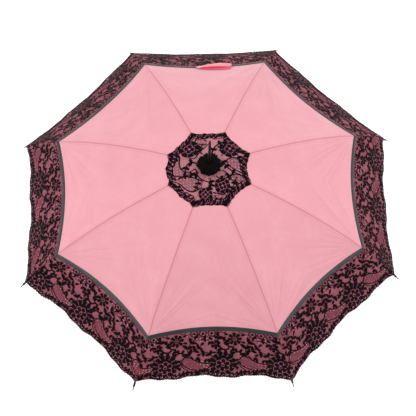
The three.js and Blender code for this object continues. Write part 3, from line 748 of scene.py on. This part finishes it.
def border_repeat():
    """One repeat of the border lace, round a big flower at x 0."""
    p = Pattern()
    # shaded net with its cords: the crescent between two flowers and the fill under the loops
    p.fill([(33, 38), (42, 47), (53, 44), (65, 36), (77, 31), (88, 30), (99, 33)],
           [(33, 36), (38, 27), (50, 19), (64, 14), (78, 14), (90, 20), (99, 31)])
    p.stroke(smooth_line([(46, 97), (60, 92), (76, 89), (94, 90), (108, 96)], 6),
             np.interp(np.linspace(0, 1, 25), [0, 0.3, 0.7, 1], [4, 17, 17, 4]), SHADED, 0.0)
    # the big flower
    p.rose(0, 29, 27.0, -90, 13, 6, 3.5)
    # the stem that swings from the flower over the crescent, with its small leaves
    p.path([(19, 46), (25, 55), (33, 57), (41, 51), (50, 46)], 3.4, steps=6)
    for x, y, angle, long in ((22, 51, 120, 11), (29, 56, 95, 10), (36, 55, 60, 10), (64, 37, 55, 11), (72, 34, 95, 10),
                              (82, 31, 62, 11), (92, 32, 100, 10)):
        p.leaf(x, y, angle, long, 6.0)
    p.path([(24, 41), (30, 37), (33, 29), (38, 21), (46, 15)], 2.2)
    p.leaves([(25, 34, 35), (27, 24, 55), (30, 14, 80), (24, 20, -5)])
    # the leafy sprays over it and the one on the right
    p.sprig([(59, 42), (50, 52), (47, 64), (52, 75), (61, 85)], 17, 8.4, 3, 2.0)
    p.sprig([(54, 57), (63, 62), (74, 71)], 13, 6.6, 2, 1.7)
    p.sprig([(99, 42), (93, 51), (84, 56), (74, 53)], 12, 7.0, 2, 2.0)
    p.sprig([(72, 84), (81, 86), (90, 81), (95, 73)], 9.5, 5.4, 2, 1.8)
    # a bud cluster and its stem, between the branch and the next flower
    for k in range(6):
        p.petal(105, 73, 30 + 60 * k, 3.0, 10.5, 6.8)
    p.dot(105, 73, 1.5)
    p.path([(105, 63), (108, 55), (103, 47)], 1.8)
    p.leaves([(108, 60, 10), (106, 56, 180), (112, 84, 60), (98, 84, 130)])
    # the curled stem with its buds
    p.path([(-9, 90), (-10, 79), (-7, 69), (1, 62), (10, 62), (13, 69), (8, 73)], 4.0, steps=6)
    p.leaves([(-9, 88, 150), (-8, 90, 95), (-7, 84, 30), (3, 80, 75), (4, 78, 15), (2, 77, -40),
              (-9, 73, 200), (-4, 66, 240), (4, 61, 280)], 11, 7.0)
    # the small flower
    for k in range(8):
        p.petal(25, 86, 6 + 45 * k, 4.6, 14.6, 7.6)
    p.ring(25, 86, 2.6, 1.5, steps=10)
    p.sprig([(25, 72), (20, 66), (21, 58)], 8.5, 5.0, 2, 1.5)
    p.leaves([(38, 80, -20), (12, 96, 165), (38, 93, 25), (14, 78, 215)])
    # loops under the ribbon, each with a dot
    for x in (61, 79, 97):
        p.ring(x, 98.5, 7.6, 2.1, 0.82)
        p.dot(x, 98.5, 2.8)
    for x in (-12, 2, 38, 112):
        p.arc(x, 104, 5, 4.5, 190, 350, 7, 1.5)
    # the dense leafy edge: a band of cords with leaves on it and pale slits between them
    edge = np.linspace(-14, REPEAT - 14, 49)
    p.stroke(np.stack([edge, hem_low(edge) + 2.4], -1), 5.4)
    count = 14
    for k in range(count):
        x = REPEAT * k / count - 14
        y = hem_low(x)
        tall = 1.0 + 0.22 * math.sin(2 * math.pi * 3 * k / count)
        p.leaf(x, y + 1.0, 44, 15.0 * tall, 6.8)
        p.leaf(x + 6.0, y + 1.0, 130, 11.5 * tall, 5.6, -0.1)
        p.leaf(x + 1.0, y + 5.5, 84, 9.5 * tall, 4.6)
        sway = 1.6 * math.sin(2.7 * k)
        if k % 3:
            p.outline([(x + 1.5, y + 1.8), (x + 4.0 + sway, y + 3.8), (x + 7.0 + sway, y + 7.4)], 0.9, 3)
        if k % 4 != 1:
            p.outline([(x + 6.4, y + 2.2), (x + 5.0, y + 4.6), (x + 3.6 - sway, y + 8.6)], 0.85, 3)
    # picots, a few to a wave
    count = 19
    for k in range(count):
        x = REPEAT * (k + 0.5) / count - 14 + 0.8 * math.sin(5 * k)
        size = 1.9 + 0.8 * math.sin(2.3 * k) ** 2
        p.arc(x, hem_low(x) + 0.4, size, 1.1 * size, 180, 360, 6, 1.3, PICOT, 0.2)
    return p.arrays()


CAP_BOW = (-0.5, 2.5, 1.5, 8.0, 4.5, 0.5, -1.5, -3.5)   # outward bow of the cap's edge in each gore


def cap_edge(turn):
    """Radius of the cap's outline, in plan, at an angle: pointed on the ribs and wavy between them."""
    turn = np.asarray(turn, float)
    inside = np.mod(turn - FIRST_RIB, SECTOR)
    gore = np.floor(np.mod(turn - FIRST_RIB, 2 * np.pi) / SECTOR).astype(int) % RIBS
    straight = CAP_REACH * math.cos(SECTOR / 2) / np.cos(inside - SECTOR / 2)
    between = np.sin(np.pi * inside / SECTOR)
    point = 2.2 * np.exp(-(np.minimum(inside, SECTOR - inside) / 0.05) ** 2)
    return (straight + point + np.asarray(CAP_BOW)[gore] * between ** 2 - 2.6 * between ** 0.35
            + 0.8 * np.sin(31 * turn) * between + 0.6 * np.sin(53 * turn + 1) * between)


def polar(radius, degrees):
    turn = np.radians(degrees)
    return radius * np.cos(turn), radius * np.sin(turn)


def cap_pattern():
    """The cap's lace in plan, round the ferrule: a leafy edge, roses and shaded net between heavy stems."""
    p = Pattern()
    # shaded net between two cords
    p.fill([(-60, 24), (-61, 8), (-54, -6), (-38, -12)], [(-66, 20), (-76, 3), (-73, -14), (-48, -21)])
    p.fill([(-66, -24), (-50, -20), (-32, -24), (-14, -33)], [(-62, -33), (-50, -46), (-35, -53), (-16, -46)])
    p.fill([(-28, 60), (-24, 70), (-14, 73), (-3, 62)], [(-26, 56), (-18, 54), (-10, 52), (-4, 56)])
    p.fill([(36, 16), (48, 22), (62, 18), (74, 2)], [(36, 12), (42, 2), (56, -7), (72, -14)])
    p.fill([(36, -24), (48, -18), (60, -16), (72, -20)], [(38, -28), (52, -30), (60, -36), (68, -30)])
    p.fill([(6, -56), (16, -58), (27, -60), (36, -54)], [(8, -62), (18, -70), (28, -70), (38, -62)])
    # roses
    for x, y, size, turn in ((-40, 44, 20, 10), (44, 44, 20, 35), (26, -42, 16, 0), (-9, -60, 14, 20)):
        p.rose(x, y, size, turn, 8, 4)
    # stems and sprays
    p.sprig([(-24, 6), (-36, 11), (-46, 5), (-50, -8)], 12, 7.2, 2, 2.8)
    p.sprig([(-22, -12), (-30, -18), (-42, -17), (-56, -20)], 10.5, 6.4, 3, 2.8)
    p.sprig([(22, 14), (30, 8), (40, -4), (58, -15)], 11, 6.6, 3, 3.0)
    p.sprig([(14, -22), (22, -27), (34, -25), (46, -16)], 10.5, 6.6, 2, 2.6)
    p.sprig([(6, 26), (9, 40), (18, 52), (34, 62)], 11, 7.0, 2, 3.0)
    p.path([(-46, 24), (-30, 20), (-22, 30), (-8, 46), (4, 60)], 2.6)
    p.path([(-40, -10), (-28, -6), (-24, -20), (-10, -32), (10, -34)], 2.6)
    p.path([(26, -8), (34, -14), (30, -24)], 2.4)
    p.sprig([(26, 24), (30, 34), (24, 44)], 9, 5.4, 2, 2.0)
    p.sprig([(-14, 28), (-20, 40), (-14, 50)], 9, 5.4, 2, 2.2)
    p.sprig([(0, -26), (4, -38), (0, -48)], 9.5, 5.6, 3, 2.2)
    p.sprig([(-22, -26), (-24, -38), (-30, -48)], 9, 5.0, 2, 2.0)
    p.sprig([(56, -22), (50, -38), (44, -50)], 10, 6.2, 2, 2.4)
    p.sprig([(58, 32), (63, 22), (66, 14)], 9, 6.0, 2, 2.4)
    p.sprig([(-60, 36), (-65, 28), (-70, 20)], 9, 6.0, 2, 2.4)
    # gathers under the rosette
    for k in range(26):
        turn = 360 * k / 26 + 4 * math.sin(3 * k)
        p.path([polar(22, turn), polar(30 + 5 * math.sin(2.1 * k) ** 2, turn + 3)], 0.9, SHADED, taper=0.3, steps=4)
    # the leafy edge: a band of cords with leaf tips on its inner side and pale slits over it
    count = 48
    for k in range(count):
        turn = 360 * k / count
        rim = float(cap_edge(math.radians(turn)))
        sway = math.sin(2.7 * k)
        p.leaf(*polar(rim - 8.0, turn), turn + 180 - 48, 8.5 + 1.5 * sway, 4.6, 0.1)
        p.outline([polar(rim - 2.2, turn), polar(rim - 5.0, turn + 2.6), polar(rim - 9.0 - sway, turn + 3.2 + sway)],
                  1.0, 3)
        if k % 2:
            p.outline([polar(rim - 3.0, turn + 4.4), polar(rim - 6.0, turn + 5.6), polar(rim - 6.5, turn + 8.0)],
                      0.9, 3)
    turns = np.linspace(0, 360, 240, endpoint=False)
    rims = cap_edge(np.radians(turns))
    p.stroke(np.stack(polar(rims - 5.0, turns), -1), 9.6, closed=True)
    p.stroke(np.stack(polar(rims - 13.6 - 1.8 * np.sin(np.radians(turns) * 11), turns), -1), 1.8, closed=True)
    return p.arrays()


def cut_out(pattern, reach, low, high, planes):
    """A pattern's faces whose points reach into low..high, cut by planes, each a point and the way out of it."""
    points, faces, kinds = pattern
    reach = reach.tolist()
    keep = [k for k, face in enumerate(faces)
            if min(reach[i] for i in face) < high and max(reach[i] for i in face) > low]
    mesh = bpy.data.meshes.new("cut")
    mesh.from_pydata(points.tolist(), [], [faces[k] for k in keep])
    mesh.polygons.foreach_set("material_index", kinds[keep].astype(np.int32))
    work = bmesh.new()
    work.from_mesh(mesh)
    bpy.data.meshes.remove(mesh)
    for point, outward in planes:
        bmesh.ops.bisect_plane(work, geom=work.verts[:] + work.edges[:] + work.faces[:], dist=1e-4,
                               plane_co=point, plane_no=outward, clear_outer=True)
    bmesh.ops.delete(work, geom=[v for v in work.verts if not v.link_faces], context="VERTS")
    work.verts.index_update()
    cut = np.array([v.co for v in work.verts]).reshape(-1, 3)
    cut_faces = [tuple(v.index for v in f.verts) for f in work.faces]
    cut_kinds = np.array([f.material_index for f in work.faces])
    work.free()
    return cut, cut_faces, cut_kinds


def cut_wedge(pattern, low, high):
    """The part of a plan pattern between two azimuths."""
    middle = (math.cos((low + high) / 2), math.sin((low + high) / 2), 0)
    planes = [((0, 0, 0), (-math.sin(turn) * out, math.cos(turn) * out, 0)) for turn, out in ((low, -1), (high, 1))]
    return cut_out(pattern, pattern[0] @ middle, 0, math.inf, planes)


def cut_strip(pattern, low, high):
    """The part of a border pattern between two shares across the gore. Its points become share, y and height."""
    points, faces, kinds = pattern
    share = share_across(points[:, 0], points[:, 1])
    flat = np.stack([share * SHARE_SCALE, points[:, 1], points[:, 2]], -1)
    planes = [((edge * SHARE_SCALE, 0, 0), (out, 0, 0)) for edge, out in ((low, -1), (high, 1))]
    cut, cut_faces, cut_kinds = cut_out((flat, faces, kinds), share, low, high, planes)
    cut = cut / (SHARE_SCALE, 1, 1)
    cut[:, 0] = np.clip(cut[:, 0], low, high)
    return cut, cut_faces, cut_kinds


def border_row(a, y):
    return hem(a) - y / BORDER * (hem(a) - ribbon_line(a))


def share_across(x, y):
    """Share across the gore of border points x from its middle and y up from the hem."""
    a = np.full(x.shape, 0.5)
    for _ in range(6):
        a = np.clip(0.5 + x / chord(np.clip(border_row(a, y), 5, None)), -0.3, 1.3)
    return a


def from_plan(x, y, gore, low, high):
    """Distance down the rib curve and share across, of points in plan."""
    turn = FIRST_RIB + (gore - 1) * SECTOR
    inside = np.clip(np.mod(np.arctan2(y, x) - turn + math.pi, 2 * math.pi) - math.pi, 0, SECTOR)
    a = np.sin(inside) / (np.sin(inside) + np.sin(SECTOR - inside))
    rib_radius = np.hypot(x, y) * np.cos(inside - SECTOR / 2) / math.cos(SECTOR / 2)
    return np.interp(rib_radius, _x, _arc), np.clip(a, low, high)


def repeated(pattern, phase):
    """Copies of a border repeat side by side, enough for the widest gore."""
    points, faces, kinds = pattern
    shifts = [m * REPEAT + phase for m in range(-3, 4) if abs(m * REPEAT + phase) < LACE_REACH + REPEAT]
    return (np.concatenate([points + (shift, 0, 0) for shift in shifts]),
            [tuple(i + n * len(points) for i in face) for n in range(len(shifts)) for face in faces],
            np.concatenate([kinds] * len(shifts)))


def kind_lift(faces, kinds, count):
    """How far each point of a pattern stands off the cord's own height: shaded net below, pale outlines on top."""
    lift = np.zeros(count)
    for face, kind in zip(faces, kinds):
        if kind in KIND_LIFT:
            lift[list(face)] = KIND_LIFT[kind]
    return lift


def lay_lace(name, gore, half, d, a, lift, faces, material, lace, kinds=None):
    """A layer of lace over one half gore, with lift above the cloth."""
    piece = new_object(f"{name}_{gore}_{half}", place(d, a, CLOTH_LIFT + lift, gore), faces, material,
                       {"lace": lace}, kinds)
    hang(piece, gore, half, a)
    return piece


def motif_lift(cut, faces, kinds):
    return MOTIF_LIFT + cut[:, 2] + kind_lift(faces, kinds, len(cut))


border = border_repeat()
rows, columns = 22, 32
for gore, half, low, high in halves():
    phase = (FIRST_PHASE + PHASE_STEP * (gore - 6) + REPEAT / 2) % REPEAT - REPEAT / 2
    cut, faces, kinds = cut_strip(repeated(border, phase), low, high)
    a, y = cut[:, 0], cut[:, 1]
    d = border_row(a, y)
    motifs = lay_lace("lace_motifs", gore, half, d, a, motif_lift(cut, faces, kinds), faces, LACE_THREADS,
                      flat_uv(d, a, LACE_SHIFT * gore, y), kinds)
    a = np.tile(np.linspace(low, high, columns), (rows, 1))
    level = np.linspace(0, 1, rows)[:, None]
    y = hem_low((a - 0.5) * chord(hem(a)) - phase) * (1 - level) + BORDER * level
    d = border_row(a, y)
    ground = lay_lace("lace_net", gore, half, d, a, NET_LIFT, grid_faces(rows, columns, flip=True), NET,
                      flat_uv(d, a, LACE_SHIFT * gore, y))

cap = cap_pattern()
cap_start = CLOTH_INNER + 1
rows, columns = 16, 12
for gore, half, low, high in halves():
    turns = [FIRST_RIB + (gore - 1 + share) * SECTOR for share in (low, high)]
    cut, faces, kinds = cut_wedge(cap, *turns)
    d, a = from_plan(cut[:, 0], cut[:, 1], gore, low, high)
    motifs = lay_lace("cap_motifs", gore, half, d, a, motif_lift(cut, faces, kinds), faces, LACE_THREADS,
                      cut[:, :2], kinds)
    inside = np.linspace(*turns, columns)[None, :]
    reach = cap_start + (cap_edge(inside) - cap_start) * np.linspace(1, 0, rows)[:, None]
    x, y = reach * np.cos(inside), reach * np.sin(inside)
    d, a = from_plan(x, y, gore, low, high)
    ground = lay_lace("cap_net", gore, half, d, a, NET_LIFT, grid_faces(rows, columns), CAP_NET,
                      np.stack([x, y], -1))
    if gore == 1 and half == "first":
        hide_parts("lace_cap")

# ---- rosette
rosette_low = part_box("rosette")[0].z / MM


def puff_wave(angle, row):
    """Crumpled gathers of the rosette: folds that wander round it, with short cross folds between."""
    t = row / (len(puff_profile) - 1)
    sway = 0.5 * math.sin(2 * angle + 1) + 0.35 * math.sin(5 * angle + 2.4 + 5 * t)
    fold = math.sin(11 * angle + 3.5 * sway + 5 * t) + 0.6 * math.sin(19 * angle - 4 * sway + 2 - 7 * t)
    cross = math.sin(17 * t + 2.5 * math.sin(3 * angle) + 3 * math.sin(7 * angle + 1))
    fine = math.sin(41 * angle + 6 * sway)
    depth = puff_depth[row]
    return 1 + depth * (0.6 * fold + 0.45 * cross + 0.25 * fine), 9.0 * depth * (0.5 * cross + 0.4 * fold)


puff_profile = [
    (8.0, 0.8), (12.0, 0.3), (17.0, 0.2), (20.5, 0.5), (23.0, 1.4), (24.4, 2.6), (25.0, 4.0), (25.0, 5.4), (24.5, 6.8),
    (23.6, 8.1), (22.4, 9.4), (20.9, 10.7), (19.2, 11.9), (17.2, 12.9), (15.0, 13.7), (12.8, 14.3), (10.6, 14.6),
    (8.6, 14.7), (6.9, 14.6), (5.6, 14.1), (5.0, 13.3), (5.6, 11.6), (7.2, 9.4), (7.4, 4.0), (8.0, 0.8)]
puff_depth = [0, 0.02, 0.03, 0.05, 0.065, 0.075, 0.08, 0.085, 0.09, 0.095, 0.10, 0.10, 0.105, 0.105, 0.10, 0.095,
              0.09, 0.07, 0.05, 0.03, 0.01, 0, 0, 0, 0]
rosette = turned("rosette_puff", [(r, rosette_low + 0.5 + h) for r, h in puff_profile], ROSETTE,
                 steps=240, wave=puff_wave)
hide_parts("rosette")
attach(rosette, "stick")

# ---- spike ferrule, collar and end cap
def between(low, above, high, below, radius):
    """A rounded profile: corners by radius and height above low, then by radius and depth below high."""
    return rounded([(r, low + h) for r, h in above] + [(r, high - h) for r, h in below], radius)


spike = turned("spike", between(
    crown_point, [(0, 2), (3.3, 2), (3.3, 10.1), (6.4, 10.2), (6.5, 12.0), (4.3, 15.2), (3.9, 16.6), (4.2, 17.6),
                  (3.5, 19.0), (3.3, 40), (2.9, 75)],
    ferrule_top, [(2.3, 5), (2.0, 2.0), (1.2, 0.4), (1.0, 0), (0, 0)], 0.8), LACQUER, 40)
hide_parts("ferrule")
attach(spike, "stick")

low, high = (corner.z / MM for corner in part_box("handle_collar"))
collar = turned("collar", between(
    low, [(4.85, 0), (8.95, 0), (9.0, 2.6), (8.0, 3.3), (8.25, 4.2), (7.7, 5.0)],
    high, [(6.6, 2.6), (6.8, 1.4), (6.3, 0), (4.85, 0), (4.85, high - low)], 0.45), NICKEL, 56)
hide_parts("handle_collar")
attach(collar, "stick")

low, high = (corner.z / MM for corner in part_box("crook_end_cap"))
end_cap = turned("end_cap", between(
    low, [(0, 0), (8.6, 0), (9.0, 0.7)],
    high, [(9.0, 2.4), (8.2, 0.6), (6.4, 0.1), (5.6, 0.6), (4.0, 0.7), (2.2, 0), (0, 0)], 0.5),
    NICKEL, 56, Matrix.Translation((2 * CROOK_RADIUS, 0, 0)))
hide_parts("crook_end_cap")
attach(end_cap, "stick")


# ---- crook handle
def crook_point(walked):
    """Middle of the handle and its heading, at a distance walked from its upper end."""
    bend = math.pi * CROOK_RADIUS
    if walked <= GRIP_LENGTH:
        return Vector((0, 0, GRIP_LENGTH / 2 - walked)), Vector((0, 0, -1))
    if walked >= GRIP_LENGTH + bend:
        return (Vector((2 * CROOK_RADIUS, 0, -GRIP_LENGTH / 2 + walked - GRIP_LENGTH - bend)), Vector((0, 0, 1)))
    turn = (walked - GRIP_LENGTH) / CROOK_RADIUS
    return (Vector((CROOK_RADIUS * (1 - math.cos(turn)), 0, -GRIP_LENGTH / 2 - CROOK_RADIUS * math.sin(turn))),
            Vector((math.sin(turn), 0, -math.cos(turn))))


total = GRIP_LENGTH + math.pi * CROOK_RADIUS + CROOK_END
points, around, steps = [], 36, 110
for i in range(steps + 1):
    walked = total * i / steps
    centre, heading = crook_point(walked)
    side = Vector((0, 1, 0))
    out = side.cross(heading)
    swell = 1 + 0.015 * math.sin(walked / 21) - 0.03 * math.exp(-(walked / 9) ** 2)
    groove = 1 - 0.05 * sum(math.exp(-((walked - w) / 1.1) ** 2) for w in (10, 14))
    for j in range(around):
        angle = 2 * math.pi * j / around
        point = centre + (side * math.cos(angle) + out * math.sin(angle)) * GRIP_RADIUS * min(1, swell) * groove
        points.append(tuple(point))
faces = grid_faces(steps + 1, around, wrap=True)
for ring, low_end in ((0, True), (steps, False)):
    centre, _ = crook_point(total * ring / steps)
    points.append(tuple(centre))
    for j in range(around):
        k = (j + 1) % around
        face = (ring * around + j, ring * around + k, len(points) - 1)
        faces.append(face[::-1] if low_end else face)
handle = new_object("crook_handle", points, faces, LACQUER)
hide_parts("handle")
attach(handle, "stick")

# ---- closing strap on the second gore
STRAP_GORE = 2
STRAP_SLANT = 6.0          # how much nearer the crown the snap lies than the sewn end
STRAP_THICK = 0.35
SNAP_INSET = 9.0           # strap's free end to the snap's middle
strap_row = HEM_CORNER - STRAP_DISTANCE
strap_chord = float(chord(strap_row))
strap_lift = CLOTH_LIFT + 1.75


def strap_layer(name, length, widths, lift, material, billow, shift):
    """One run of the satin strap, from its sewn end; widths are pairs of a share of the way along and a width."""
    t, section = np.linspace(0, 1, 44)[None, :], np.linspace(-0.5, 0.5, 9)[:, None]
    wide = np.interp(t, *zip(*widths))
    a = STRAP_START + length * t / strap_chord + 0 * section
    d = strap_row + section * wide + shift * np.cos(t * math.pi / 2) - STRAP_SLANT * t
    gathers = 0.45 * np.sin(section * 19 + 1.3 * t) * np.exp(-(t / 0.2) ** 2)
    lift = strap_lift + lift + 0.5 * (1 - (2 * section) ** 2) + gathers + billow * np.sin(math.pi * t)
    return closed_sheet(name, place(d, a, lift, STRAP_GORE), place(d, a, lift - STRAP_THICK, STRAP_GORE), material,
                        {"cloth": np.stack([length * t + 0 * d, section * wide], -1)})


strap_under = strap_layer("strap_under", 72, [(0, 20), (0.06, 25), (0.25, 27), (0.8, 20), (1, 9)], 0.0,
                          STRAP, 0.6, -4.0)
strap_over = strap_layer("strap_over", 78, [(0, 15), (0.06, 20), (0.3, 21), (0.7, 13), (0.88, 9), (1, 9.5)], 0.9,
                         STRAP_LIT_COPY, 3.4, 3.5)
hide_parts("closing_strap")
for piece, flat in ((strap_under, (0.022, 0.072)), (strap_over, (0.016, 0.078))):
    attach(piece, "closing_strap")
    round(flat[0] * flat[1] * 0.84, 6)

snap_share = STRAP_START + (STRAP_LENGTH - SNAP_INSET) / strap_chord
snap_row = strap_row - STRAP_SLANT * (1 - SNAP_INSET / STRAP_LENGTH)
foot = place(snap_row, snap_share, strap_lift + 1.3, STRAP_GORE)
ahead = place(snap_row + 3, snap_share, strap_lift + 1.3, STRAP_GORE) - foot
beside = place(snap_row, snap_share + 0.01, strap_lift + 1.3, STRAP_GORE) - foot
normal = Vector(np.cross(ahead, beside)).normalized()
along = Vector(ahead).normalized()
across = normal.cross(along)
stand = Matrix((along, across, normal)).transposed().to_4x4()
stand.translation = Vector(foot)
snap = turned("snap", rounded([
    (0, 0), (4.8, 0), (5.0, 0.5), (4.6, 1.0), (3.6, 1.1), (3.2, 0.8), (2.4, 0.8), (2.0, 1.5), (1.2, 1.8), (0, 1.8)],
    0.3), NICKEL, 40, stand)
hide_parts("strap_snap")
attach(snap, "closing_strap")

# ---- finishes of the CAD nodes that stay
FINISHES = {"shaft": ENAMEL, "crown": NYLON, "runner": NYLON, "crown_ring": STEEL, "runner_ring": STEEL,
            "stop_pin": STEEL, "top_catch": STEEL, "bottom_catch": STEEL}
for k in range(1, RIBS + 1):
    FINISHES[f"rib_{k}"] = FINISHES[f"rib_tip_{k}"] = FINISHES[f"stretcher_{k}"] = DARK_STEEL
for node, finish in FINISHES.items():
    for material_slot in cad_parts[node].material_slots:
        material_slot.material = finish

# ---- floor, light and camera
FLOOR_HALF = 8.0
FLOOR_GAP = 0.002          # under the handle
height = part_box("handle")[0].z - FLOOR_GAP
mesh = bpy.data.meshes.new("floor")
mesh.from_pydata([(x * FLOOR_HALF, y * FLOOR_HALF, height) for x, y in ((-1, -1), (1, -1), (1, 1), (-1, 1))], [],
                 [(0, 1, 2, 3)])
floor = bpy.data.objects.new("floor", mesh)
bpy.context.scene.collection.objects.link(floor)
paper = Nodes("floor_paper", Roughness=0.9, Specular_IOR_Level=0.1, Emission_Color=WHITE, Emission_Strength=0.7)
paper.set("Base Color", paper.mix(paper.noise(paper.where(), 3.0), (0.92, 0.92, 0.92, 1), (0.95, 0.95, 0.95, 1)))
mesh.materials.append(paper.material)

LAMP_SIZE = 0.8
LAMP_AIM = 0.4             # height that the lamps point at
scene = bpy.context.scene
scene.view_settings.view_transform = "Standard"
world = bpy.data.worlds.new("studio")
world.use_nodes = True
sky = world.node_tree
parts = sky.nodes.new("ShaderNodeSeparateXYZ")
sky.links.new(sky.nodes.new("ShaderNodeTexCoord").outputs["Generated"], parts.inputs["Vector"])
spread = sky.nodes.new("ShaderNodeMapRange")
spread.interpolation_type = "SMOOTHSTEP"
for socket, value in (("From Min", -0.9), ("From Max", 0.15), ("To Min", 0.34), ("To Max", 0.77)):
    spread.inputs[socket].default_value = value
sky.links.new(parts.outputs["Y"], spread.inputs["Value"])
sky.links.new(spread.outputs["Result"], sky.nodes["Background"].inputs["Color"])
scene.world = world


def area_light(name, where, power):
    """A square lamp turned to the canopy, power in watts."""
    light = bpy.data.lights.new(name, "AREA")
    light.shape = "SQUARE"
    light.size = LAMP_SIZE
    light.energy = power
    lamp = bpy.data.objects.new(name, light)
    lamp.location = where
    lamp.rotation_euler = (Vector((0, 0, LAMP_AIM)) - Vector(where)).to_track_quat("-Z", "Y").to_euler()
    scene.collection.objects.link(lamp)


area_light("key", (1.1, 1.3, 2.3), 8)
area_light("fill", (-2.0, -0.5, 2.1), 26)
area_light("kicker", (2.2, -0.55, 2.15), 23)

CAMERA_DISTANCE = 3.665
CAMERA_ELEVATION = math.radians(65.16)
CAMERA_AZIMUTH = math.radians(-92.93)
CAMERA_ROLL = math.radians(-1.498)
CAMERA_LIFT = 0.0093
FOCAL_PIXELS = 1671.8
FRAME_PIXELS = 416
middle = Vector((0, 0, (crown_point - CANOPY_RISE) * MM))
level = math.cos(CAMERA_ELEVATION)
back = Vector((level * math.cos(CAMERA_AZIMUTH), level * math.sin(CAMERA_AZIMUTH), math.sin(CAMERA_ELEVATION)))
eye = middle + back * CAMERA_DISTANCE
right = Vector((0, 0, 1)).cross(back).normalized()
rolled_up = right * math.sin(CAMERA_ROLL) + back.cross(right) * math.cos(CAMERA_ROLL)
aim = middle + rolled_up * CAMERA_LIFT
back = (eye - aim).normalized()
right = rolled_up.cross(back).normalized()
up = back.cross(right)
camera_data = bpy.data.cameras.new("camera")
camera_data.sensor_width = 36
camera_data.lens = FOCAL_PIXELS / FRAME_PIXELS * camera_data.sensor_width
camera_data.clip_end = 50
camera = bpy.data.objects.new("camera", camera_data)
camera.matrix_world = Matrix.Translation(eye) @ Matrix((right, up, back)).transposed().to_4x4()
scene.collection.objects.link(camera)
scene.camera = camera
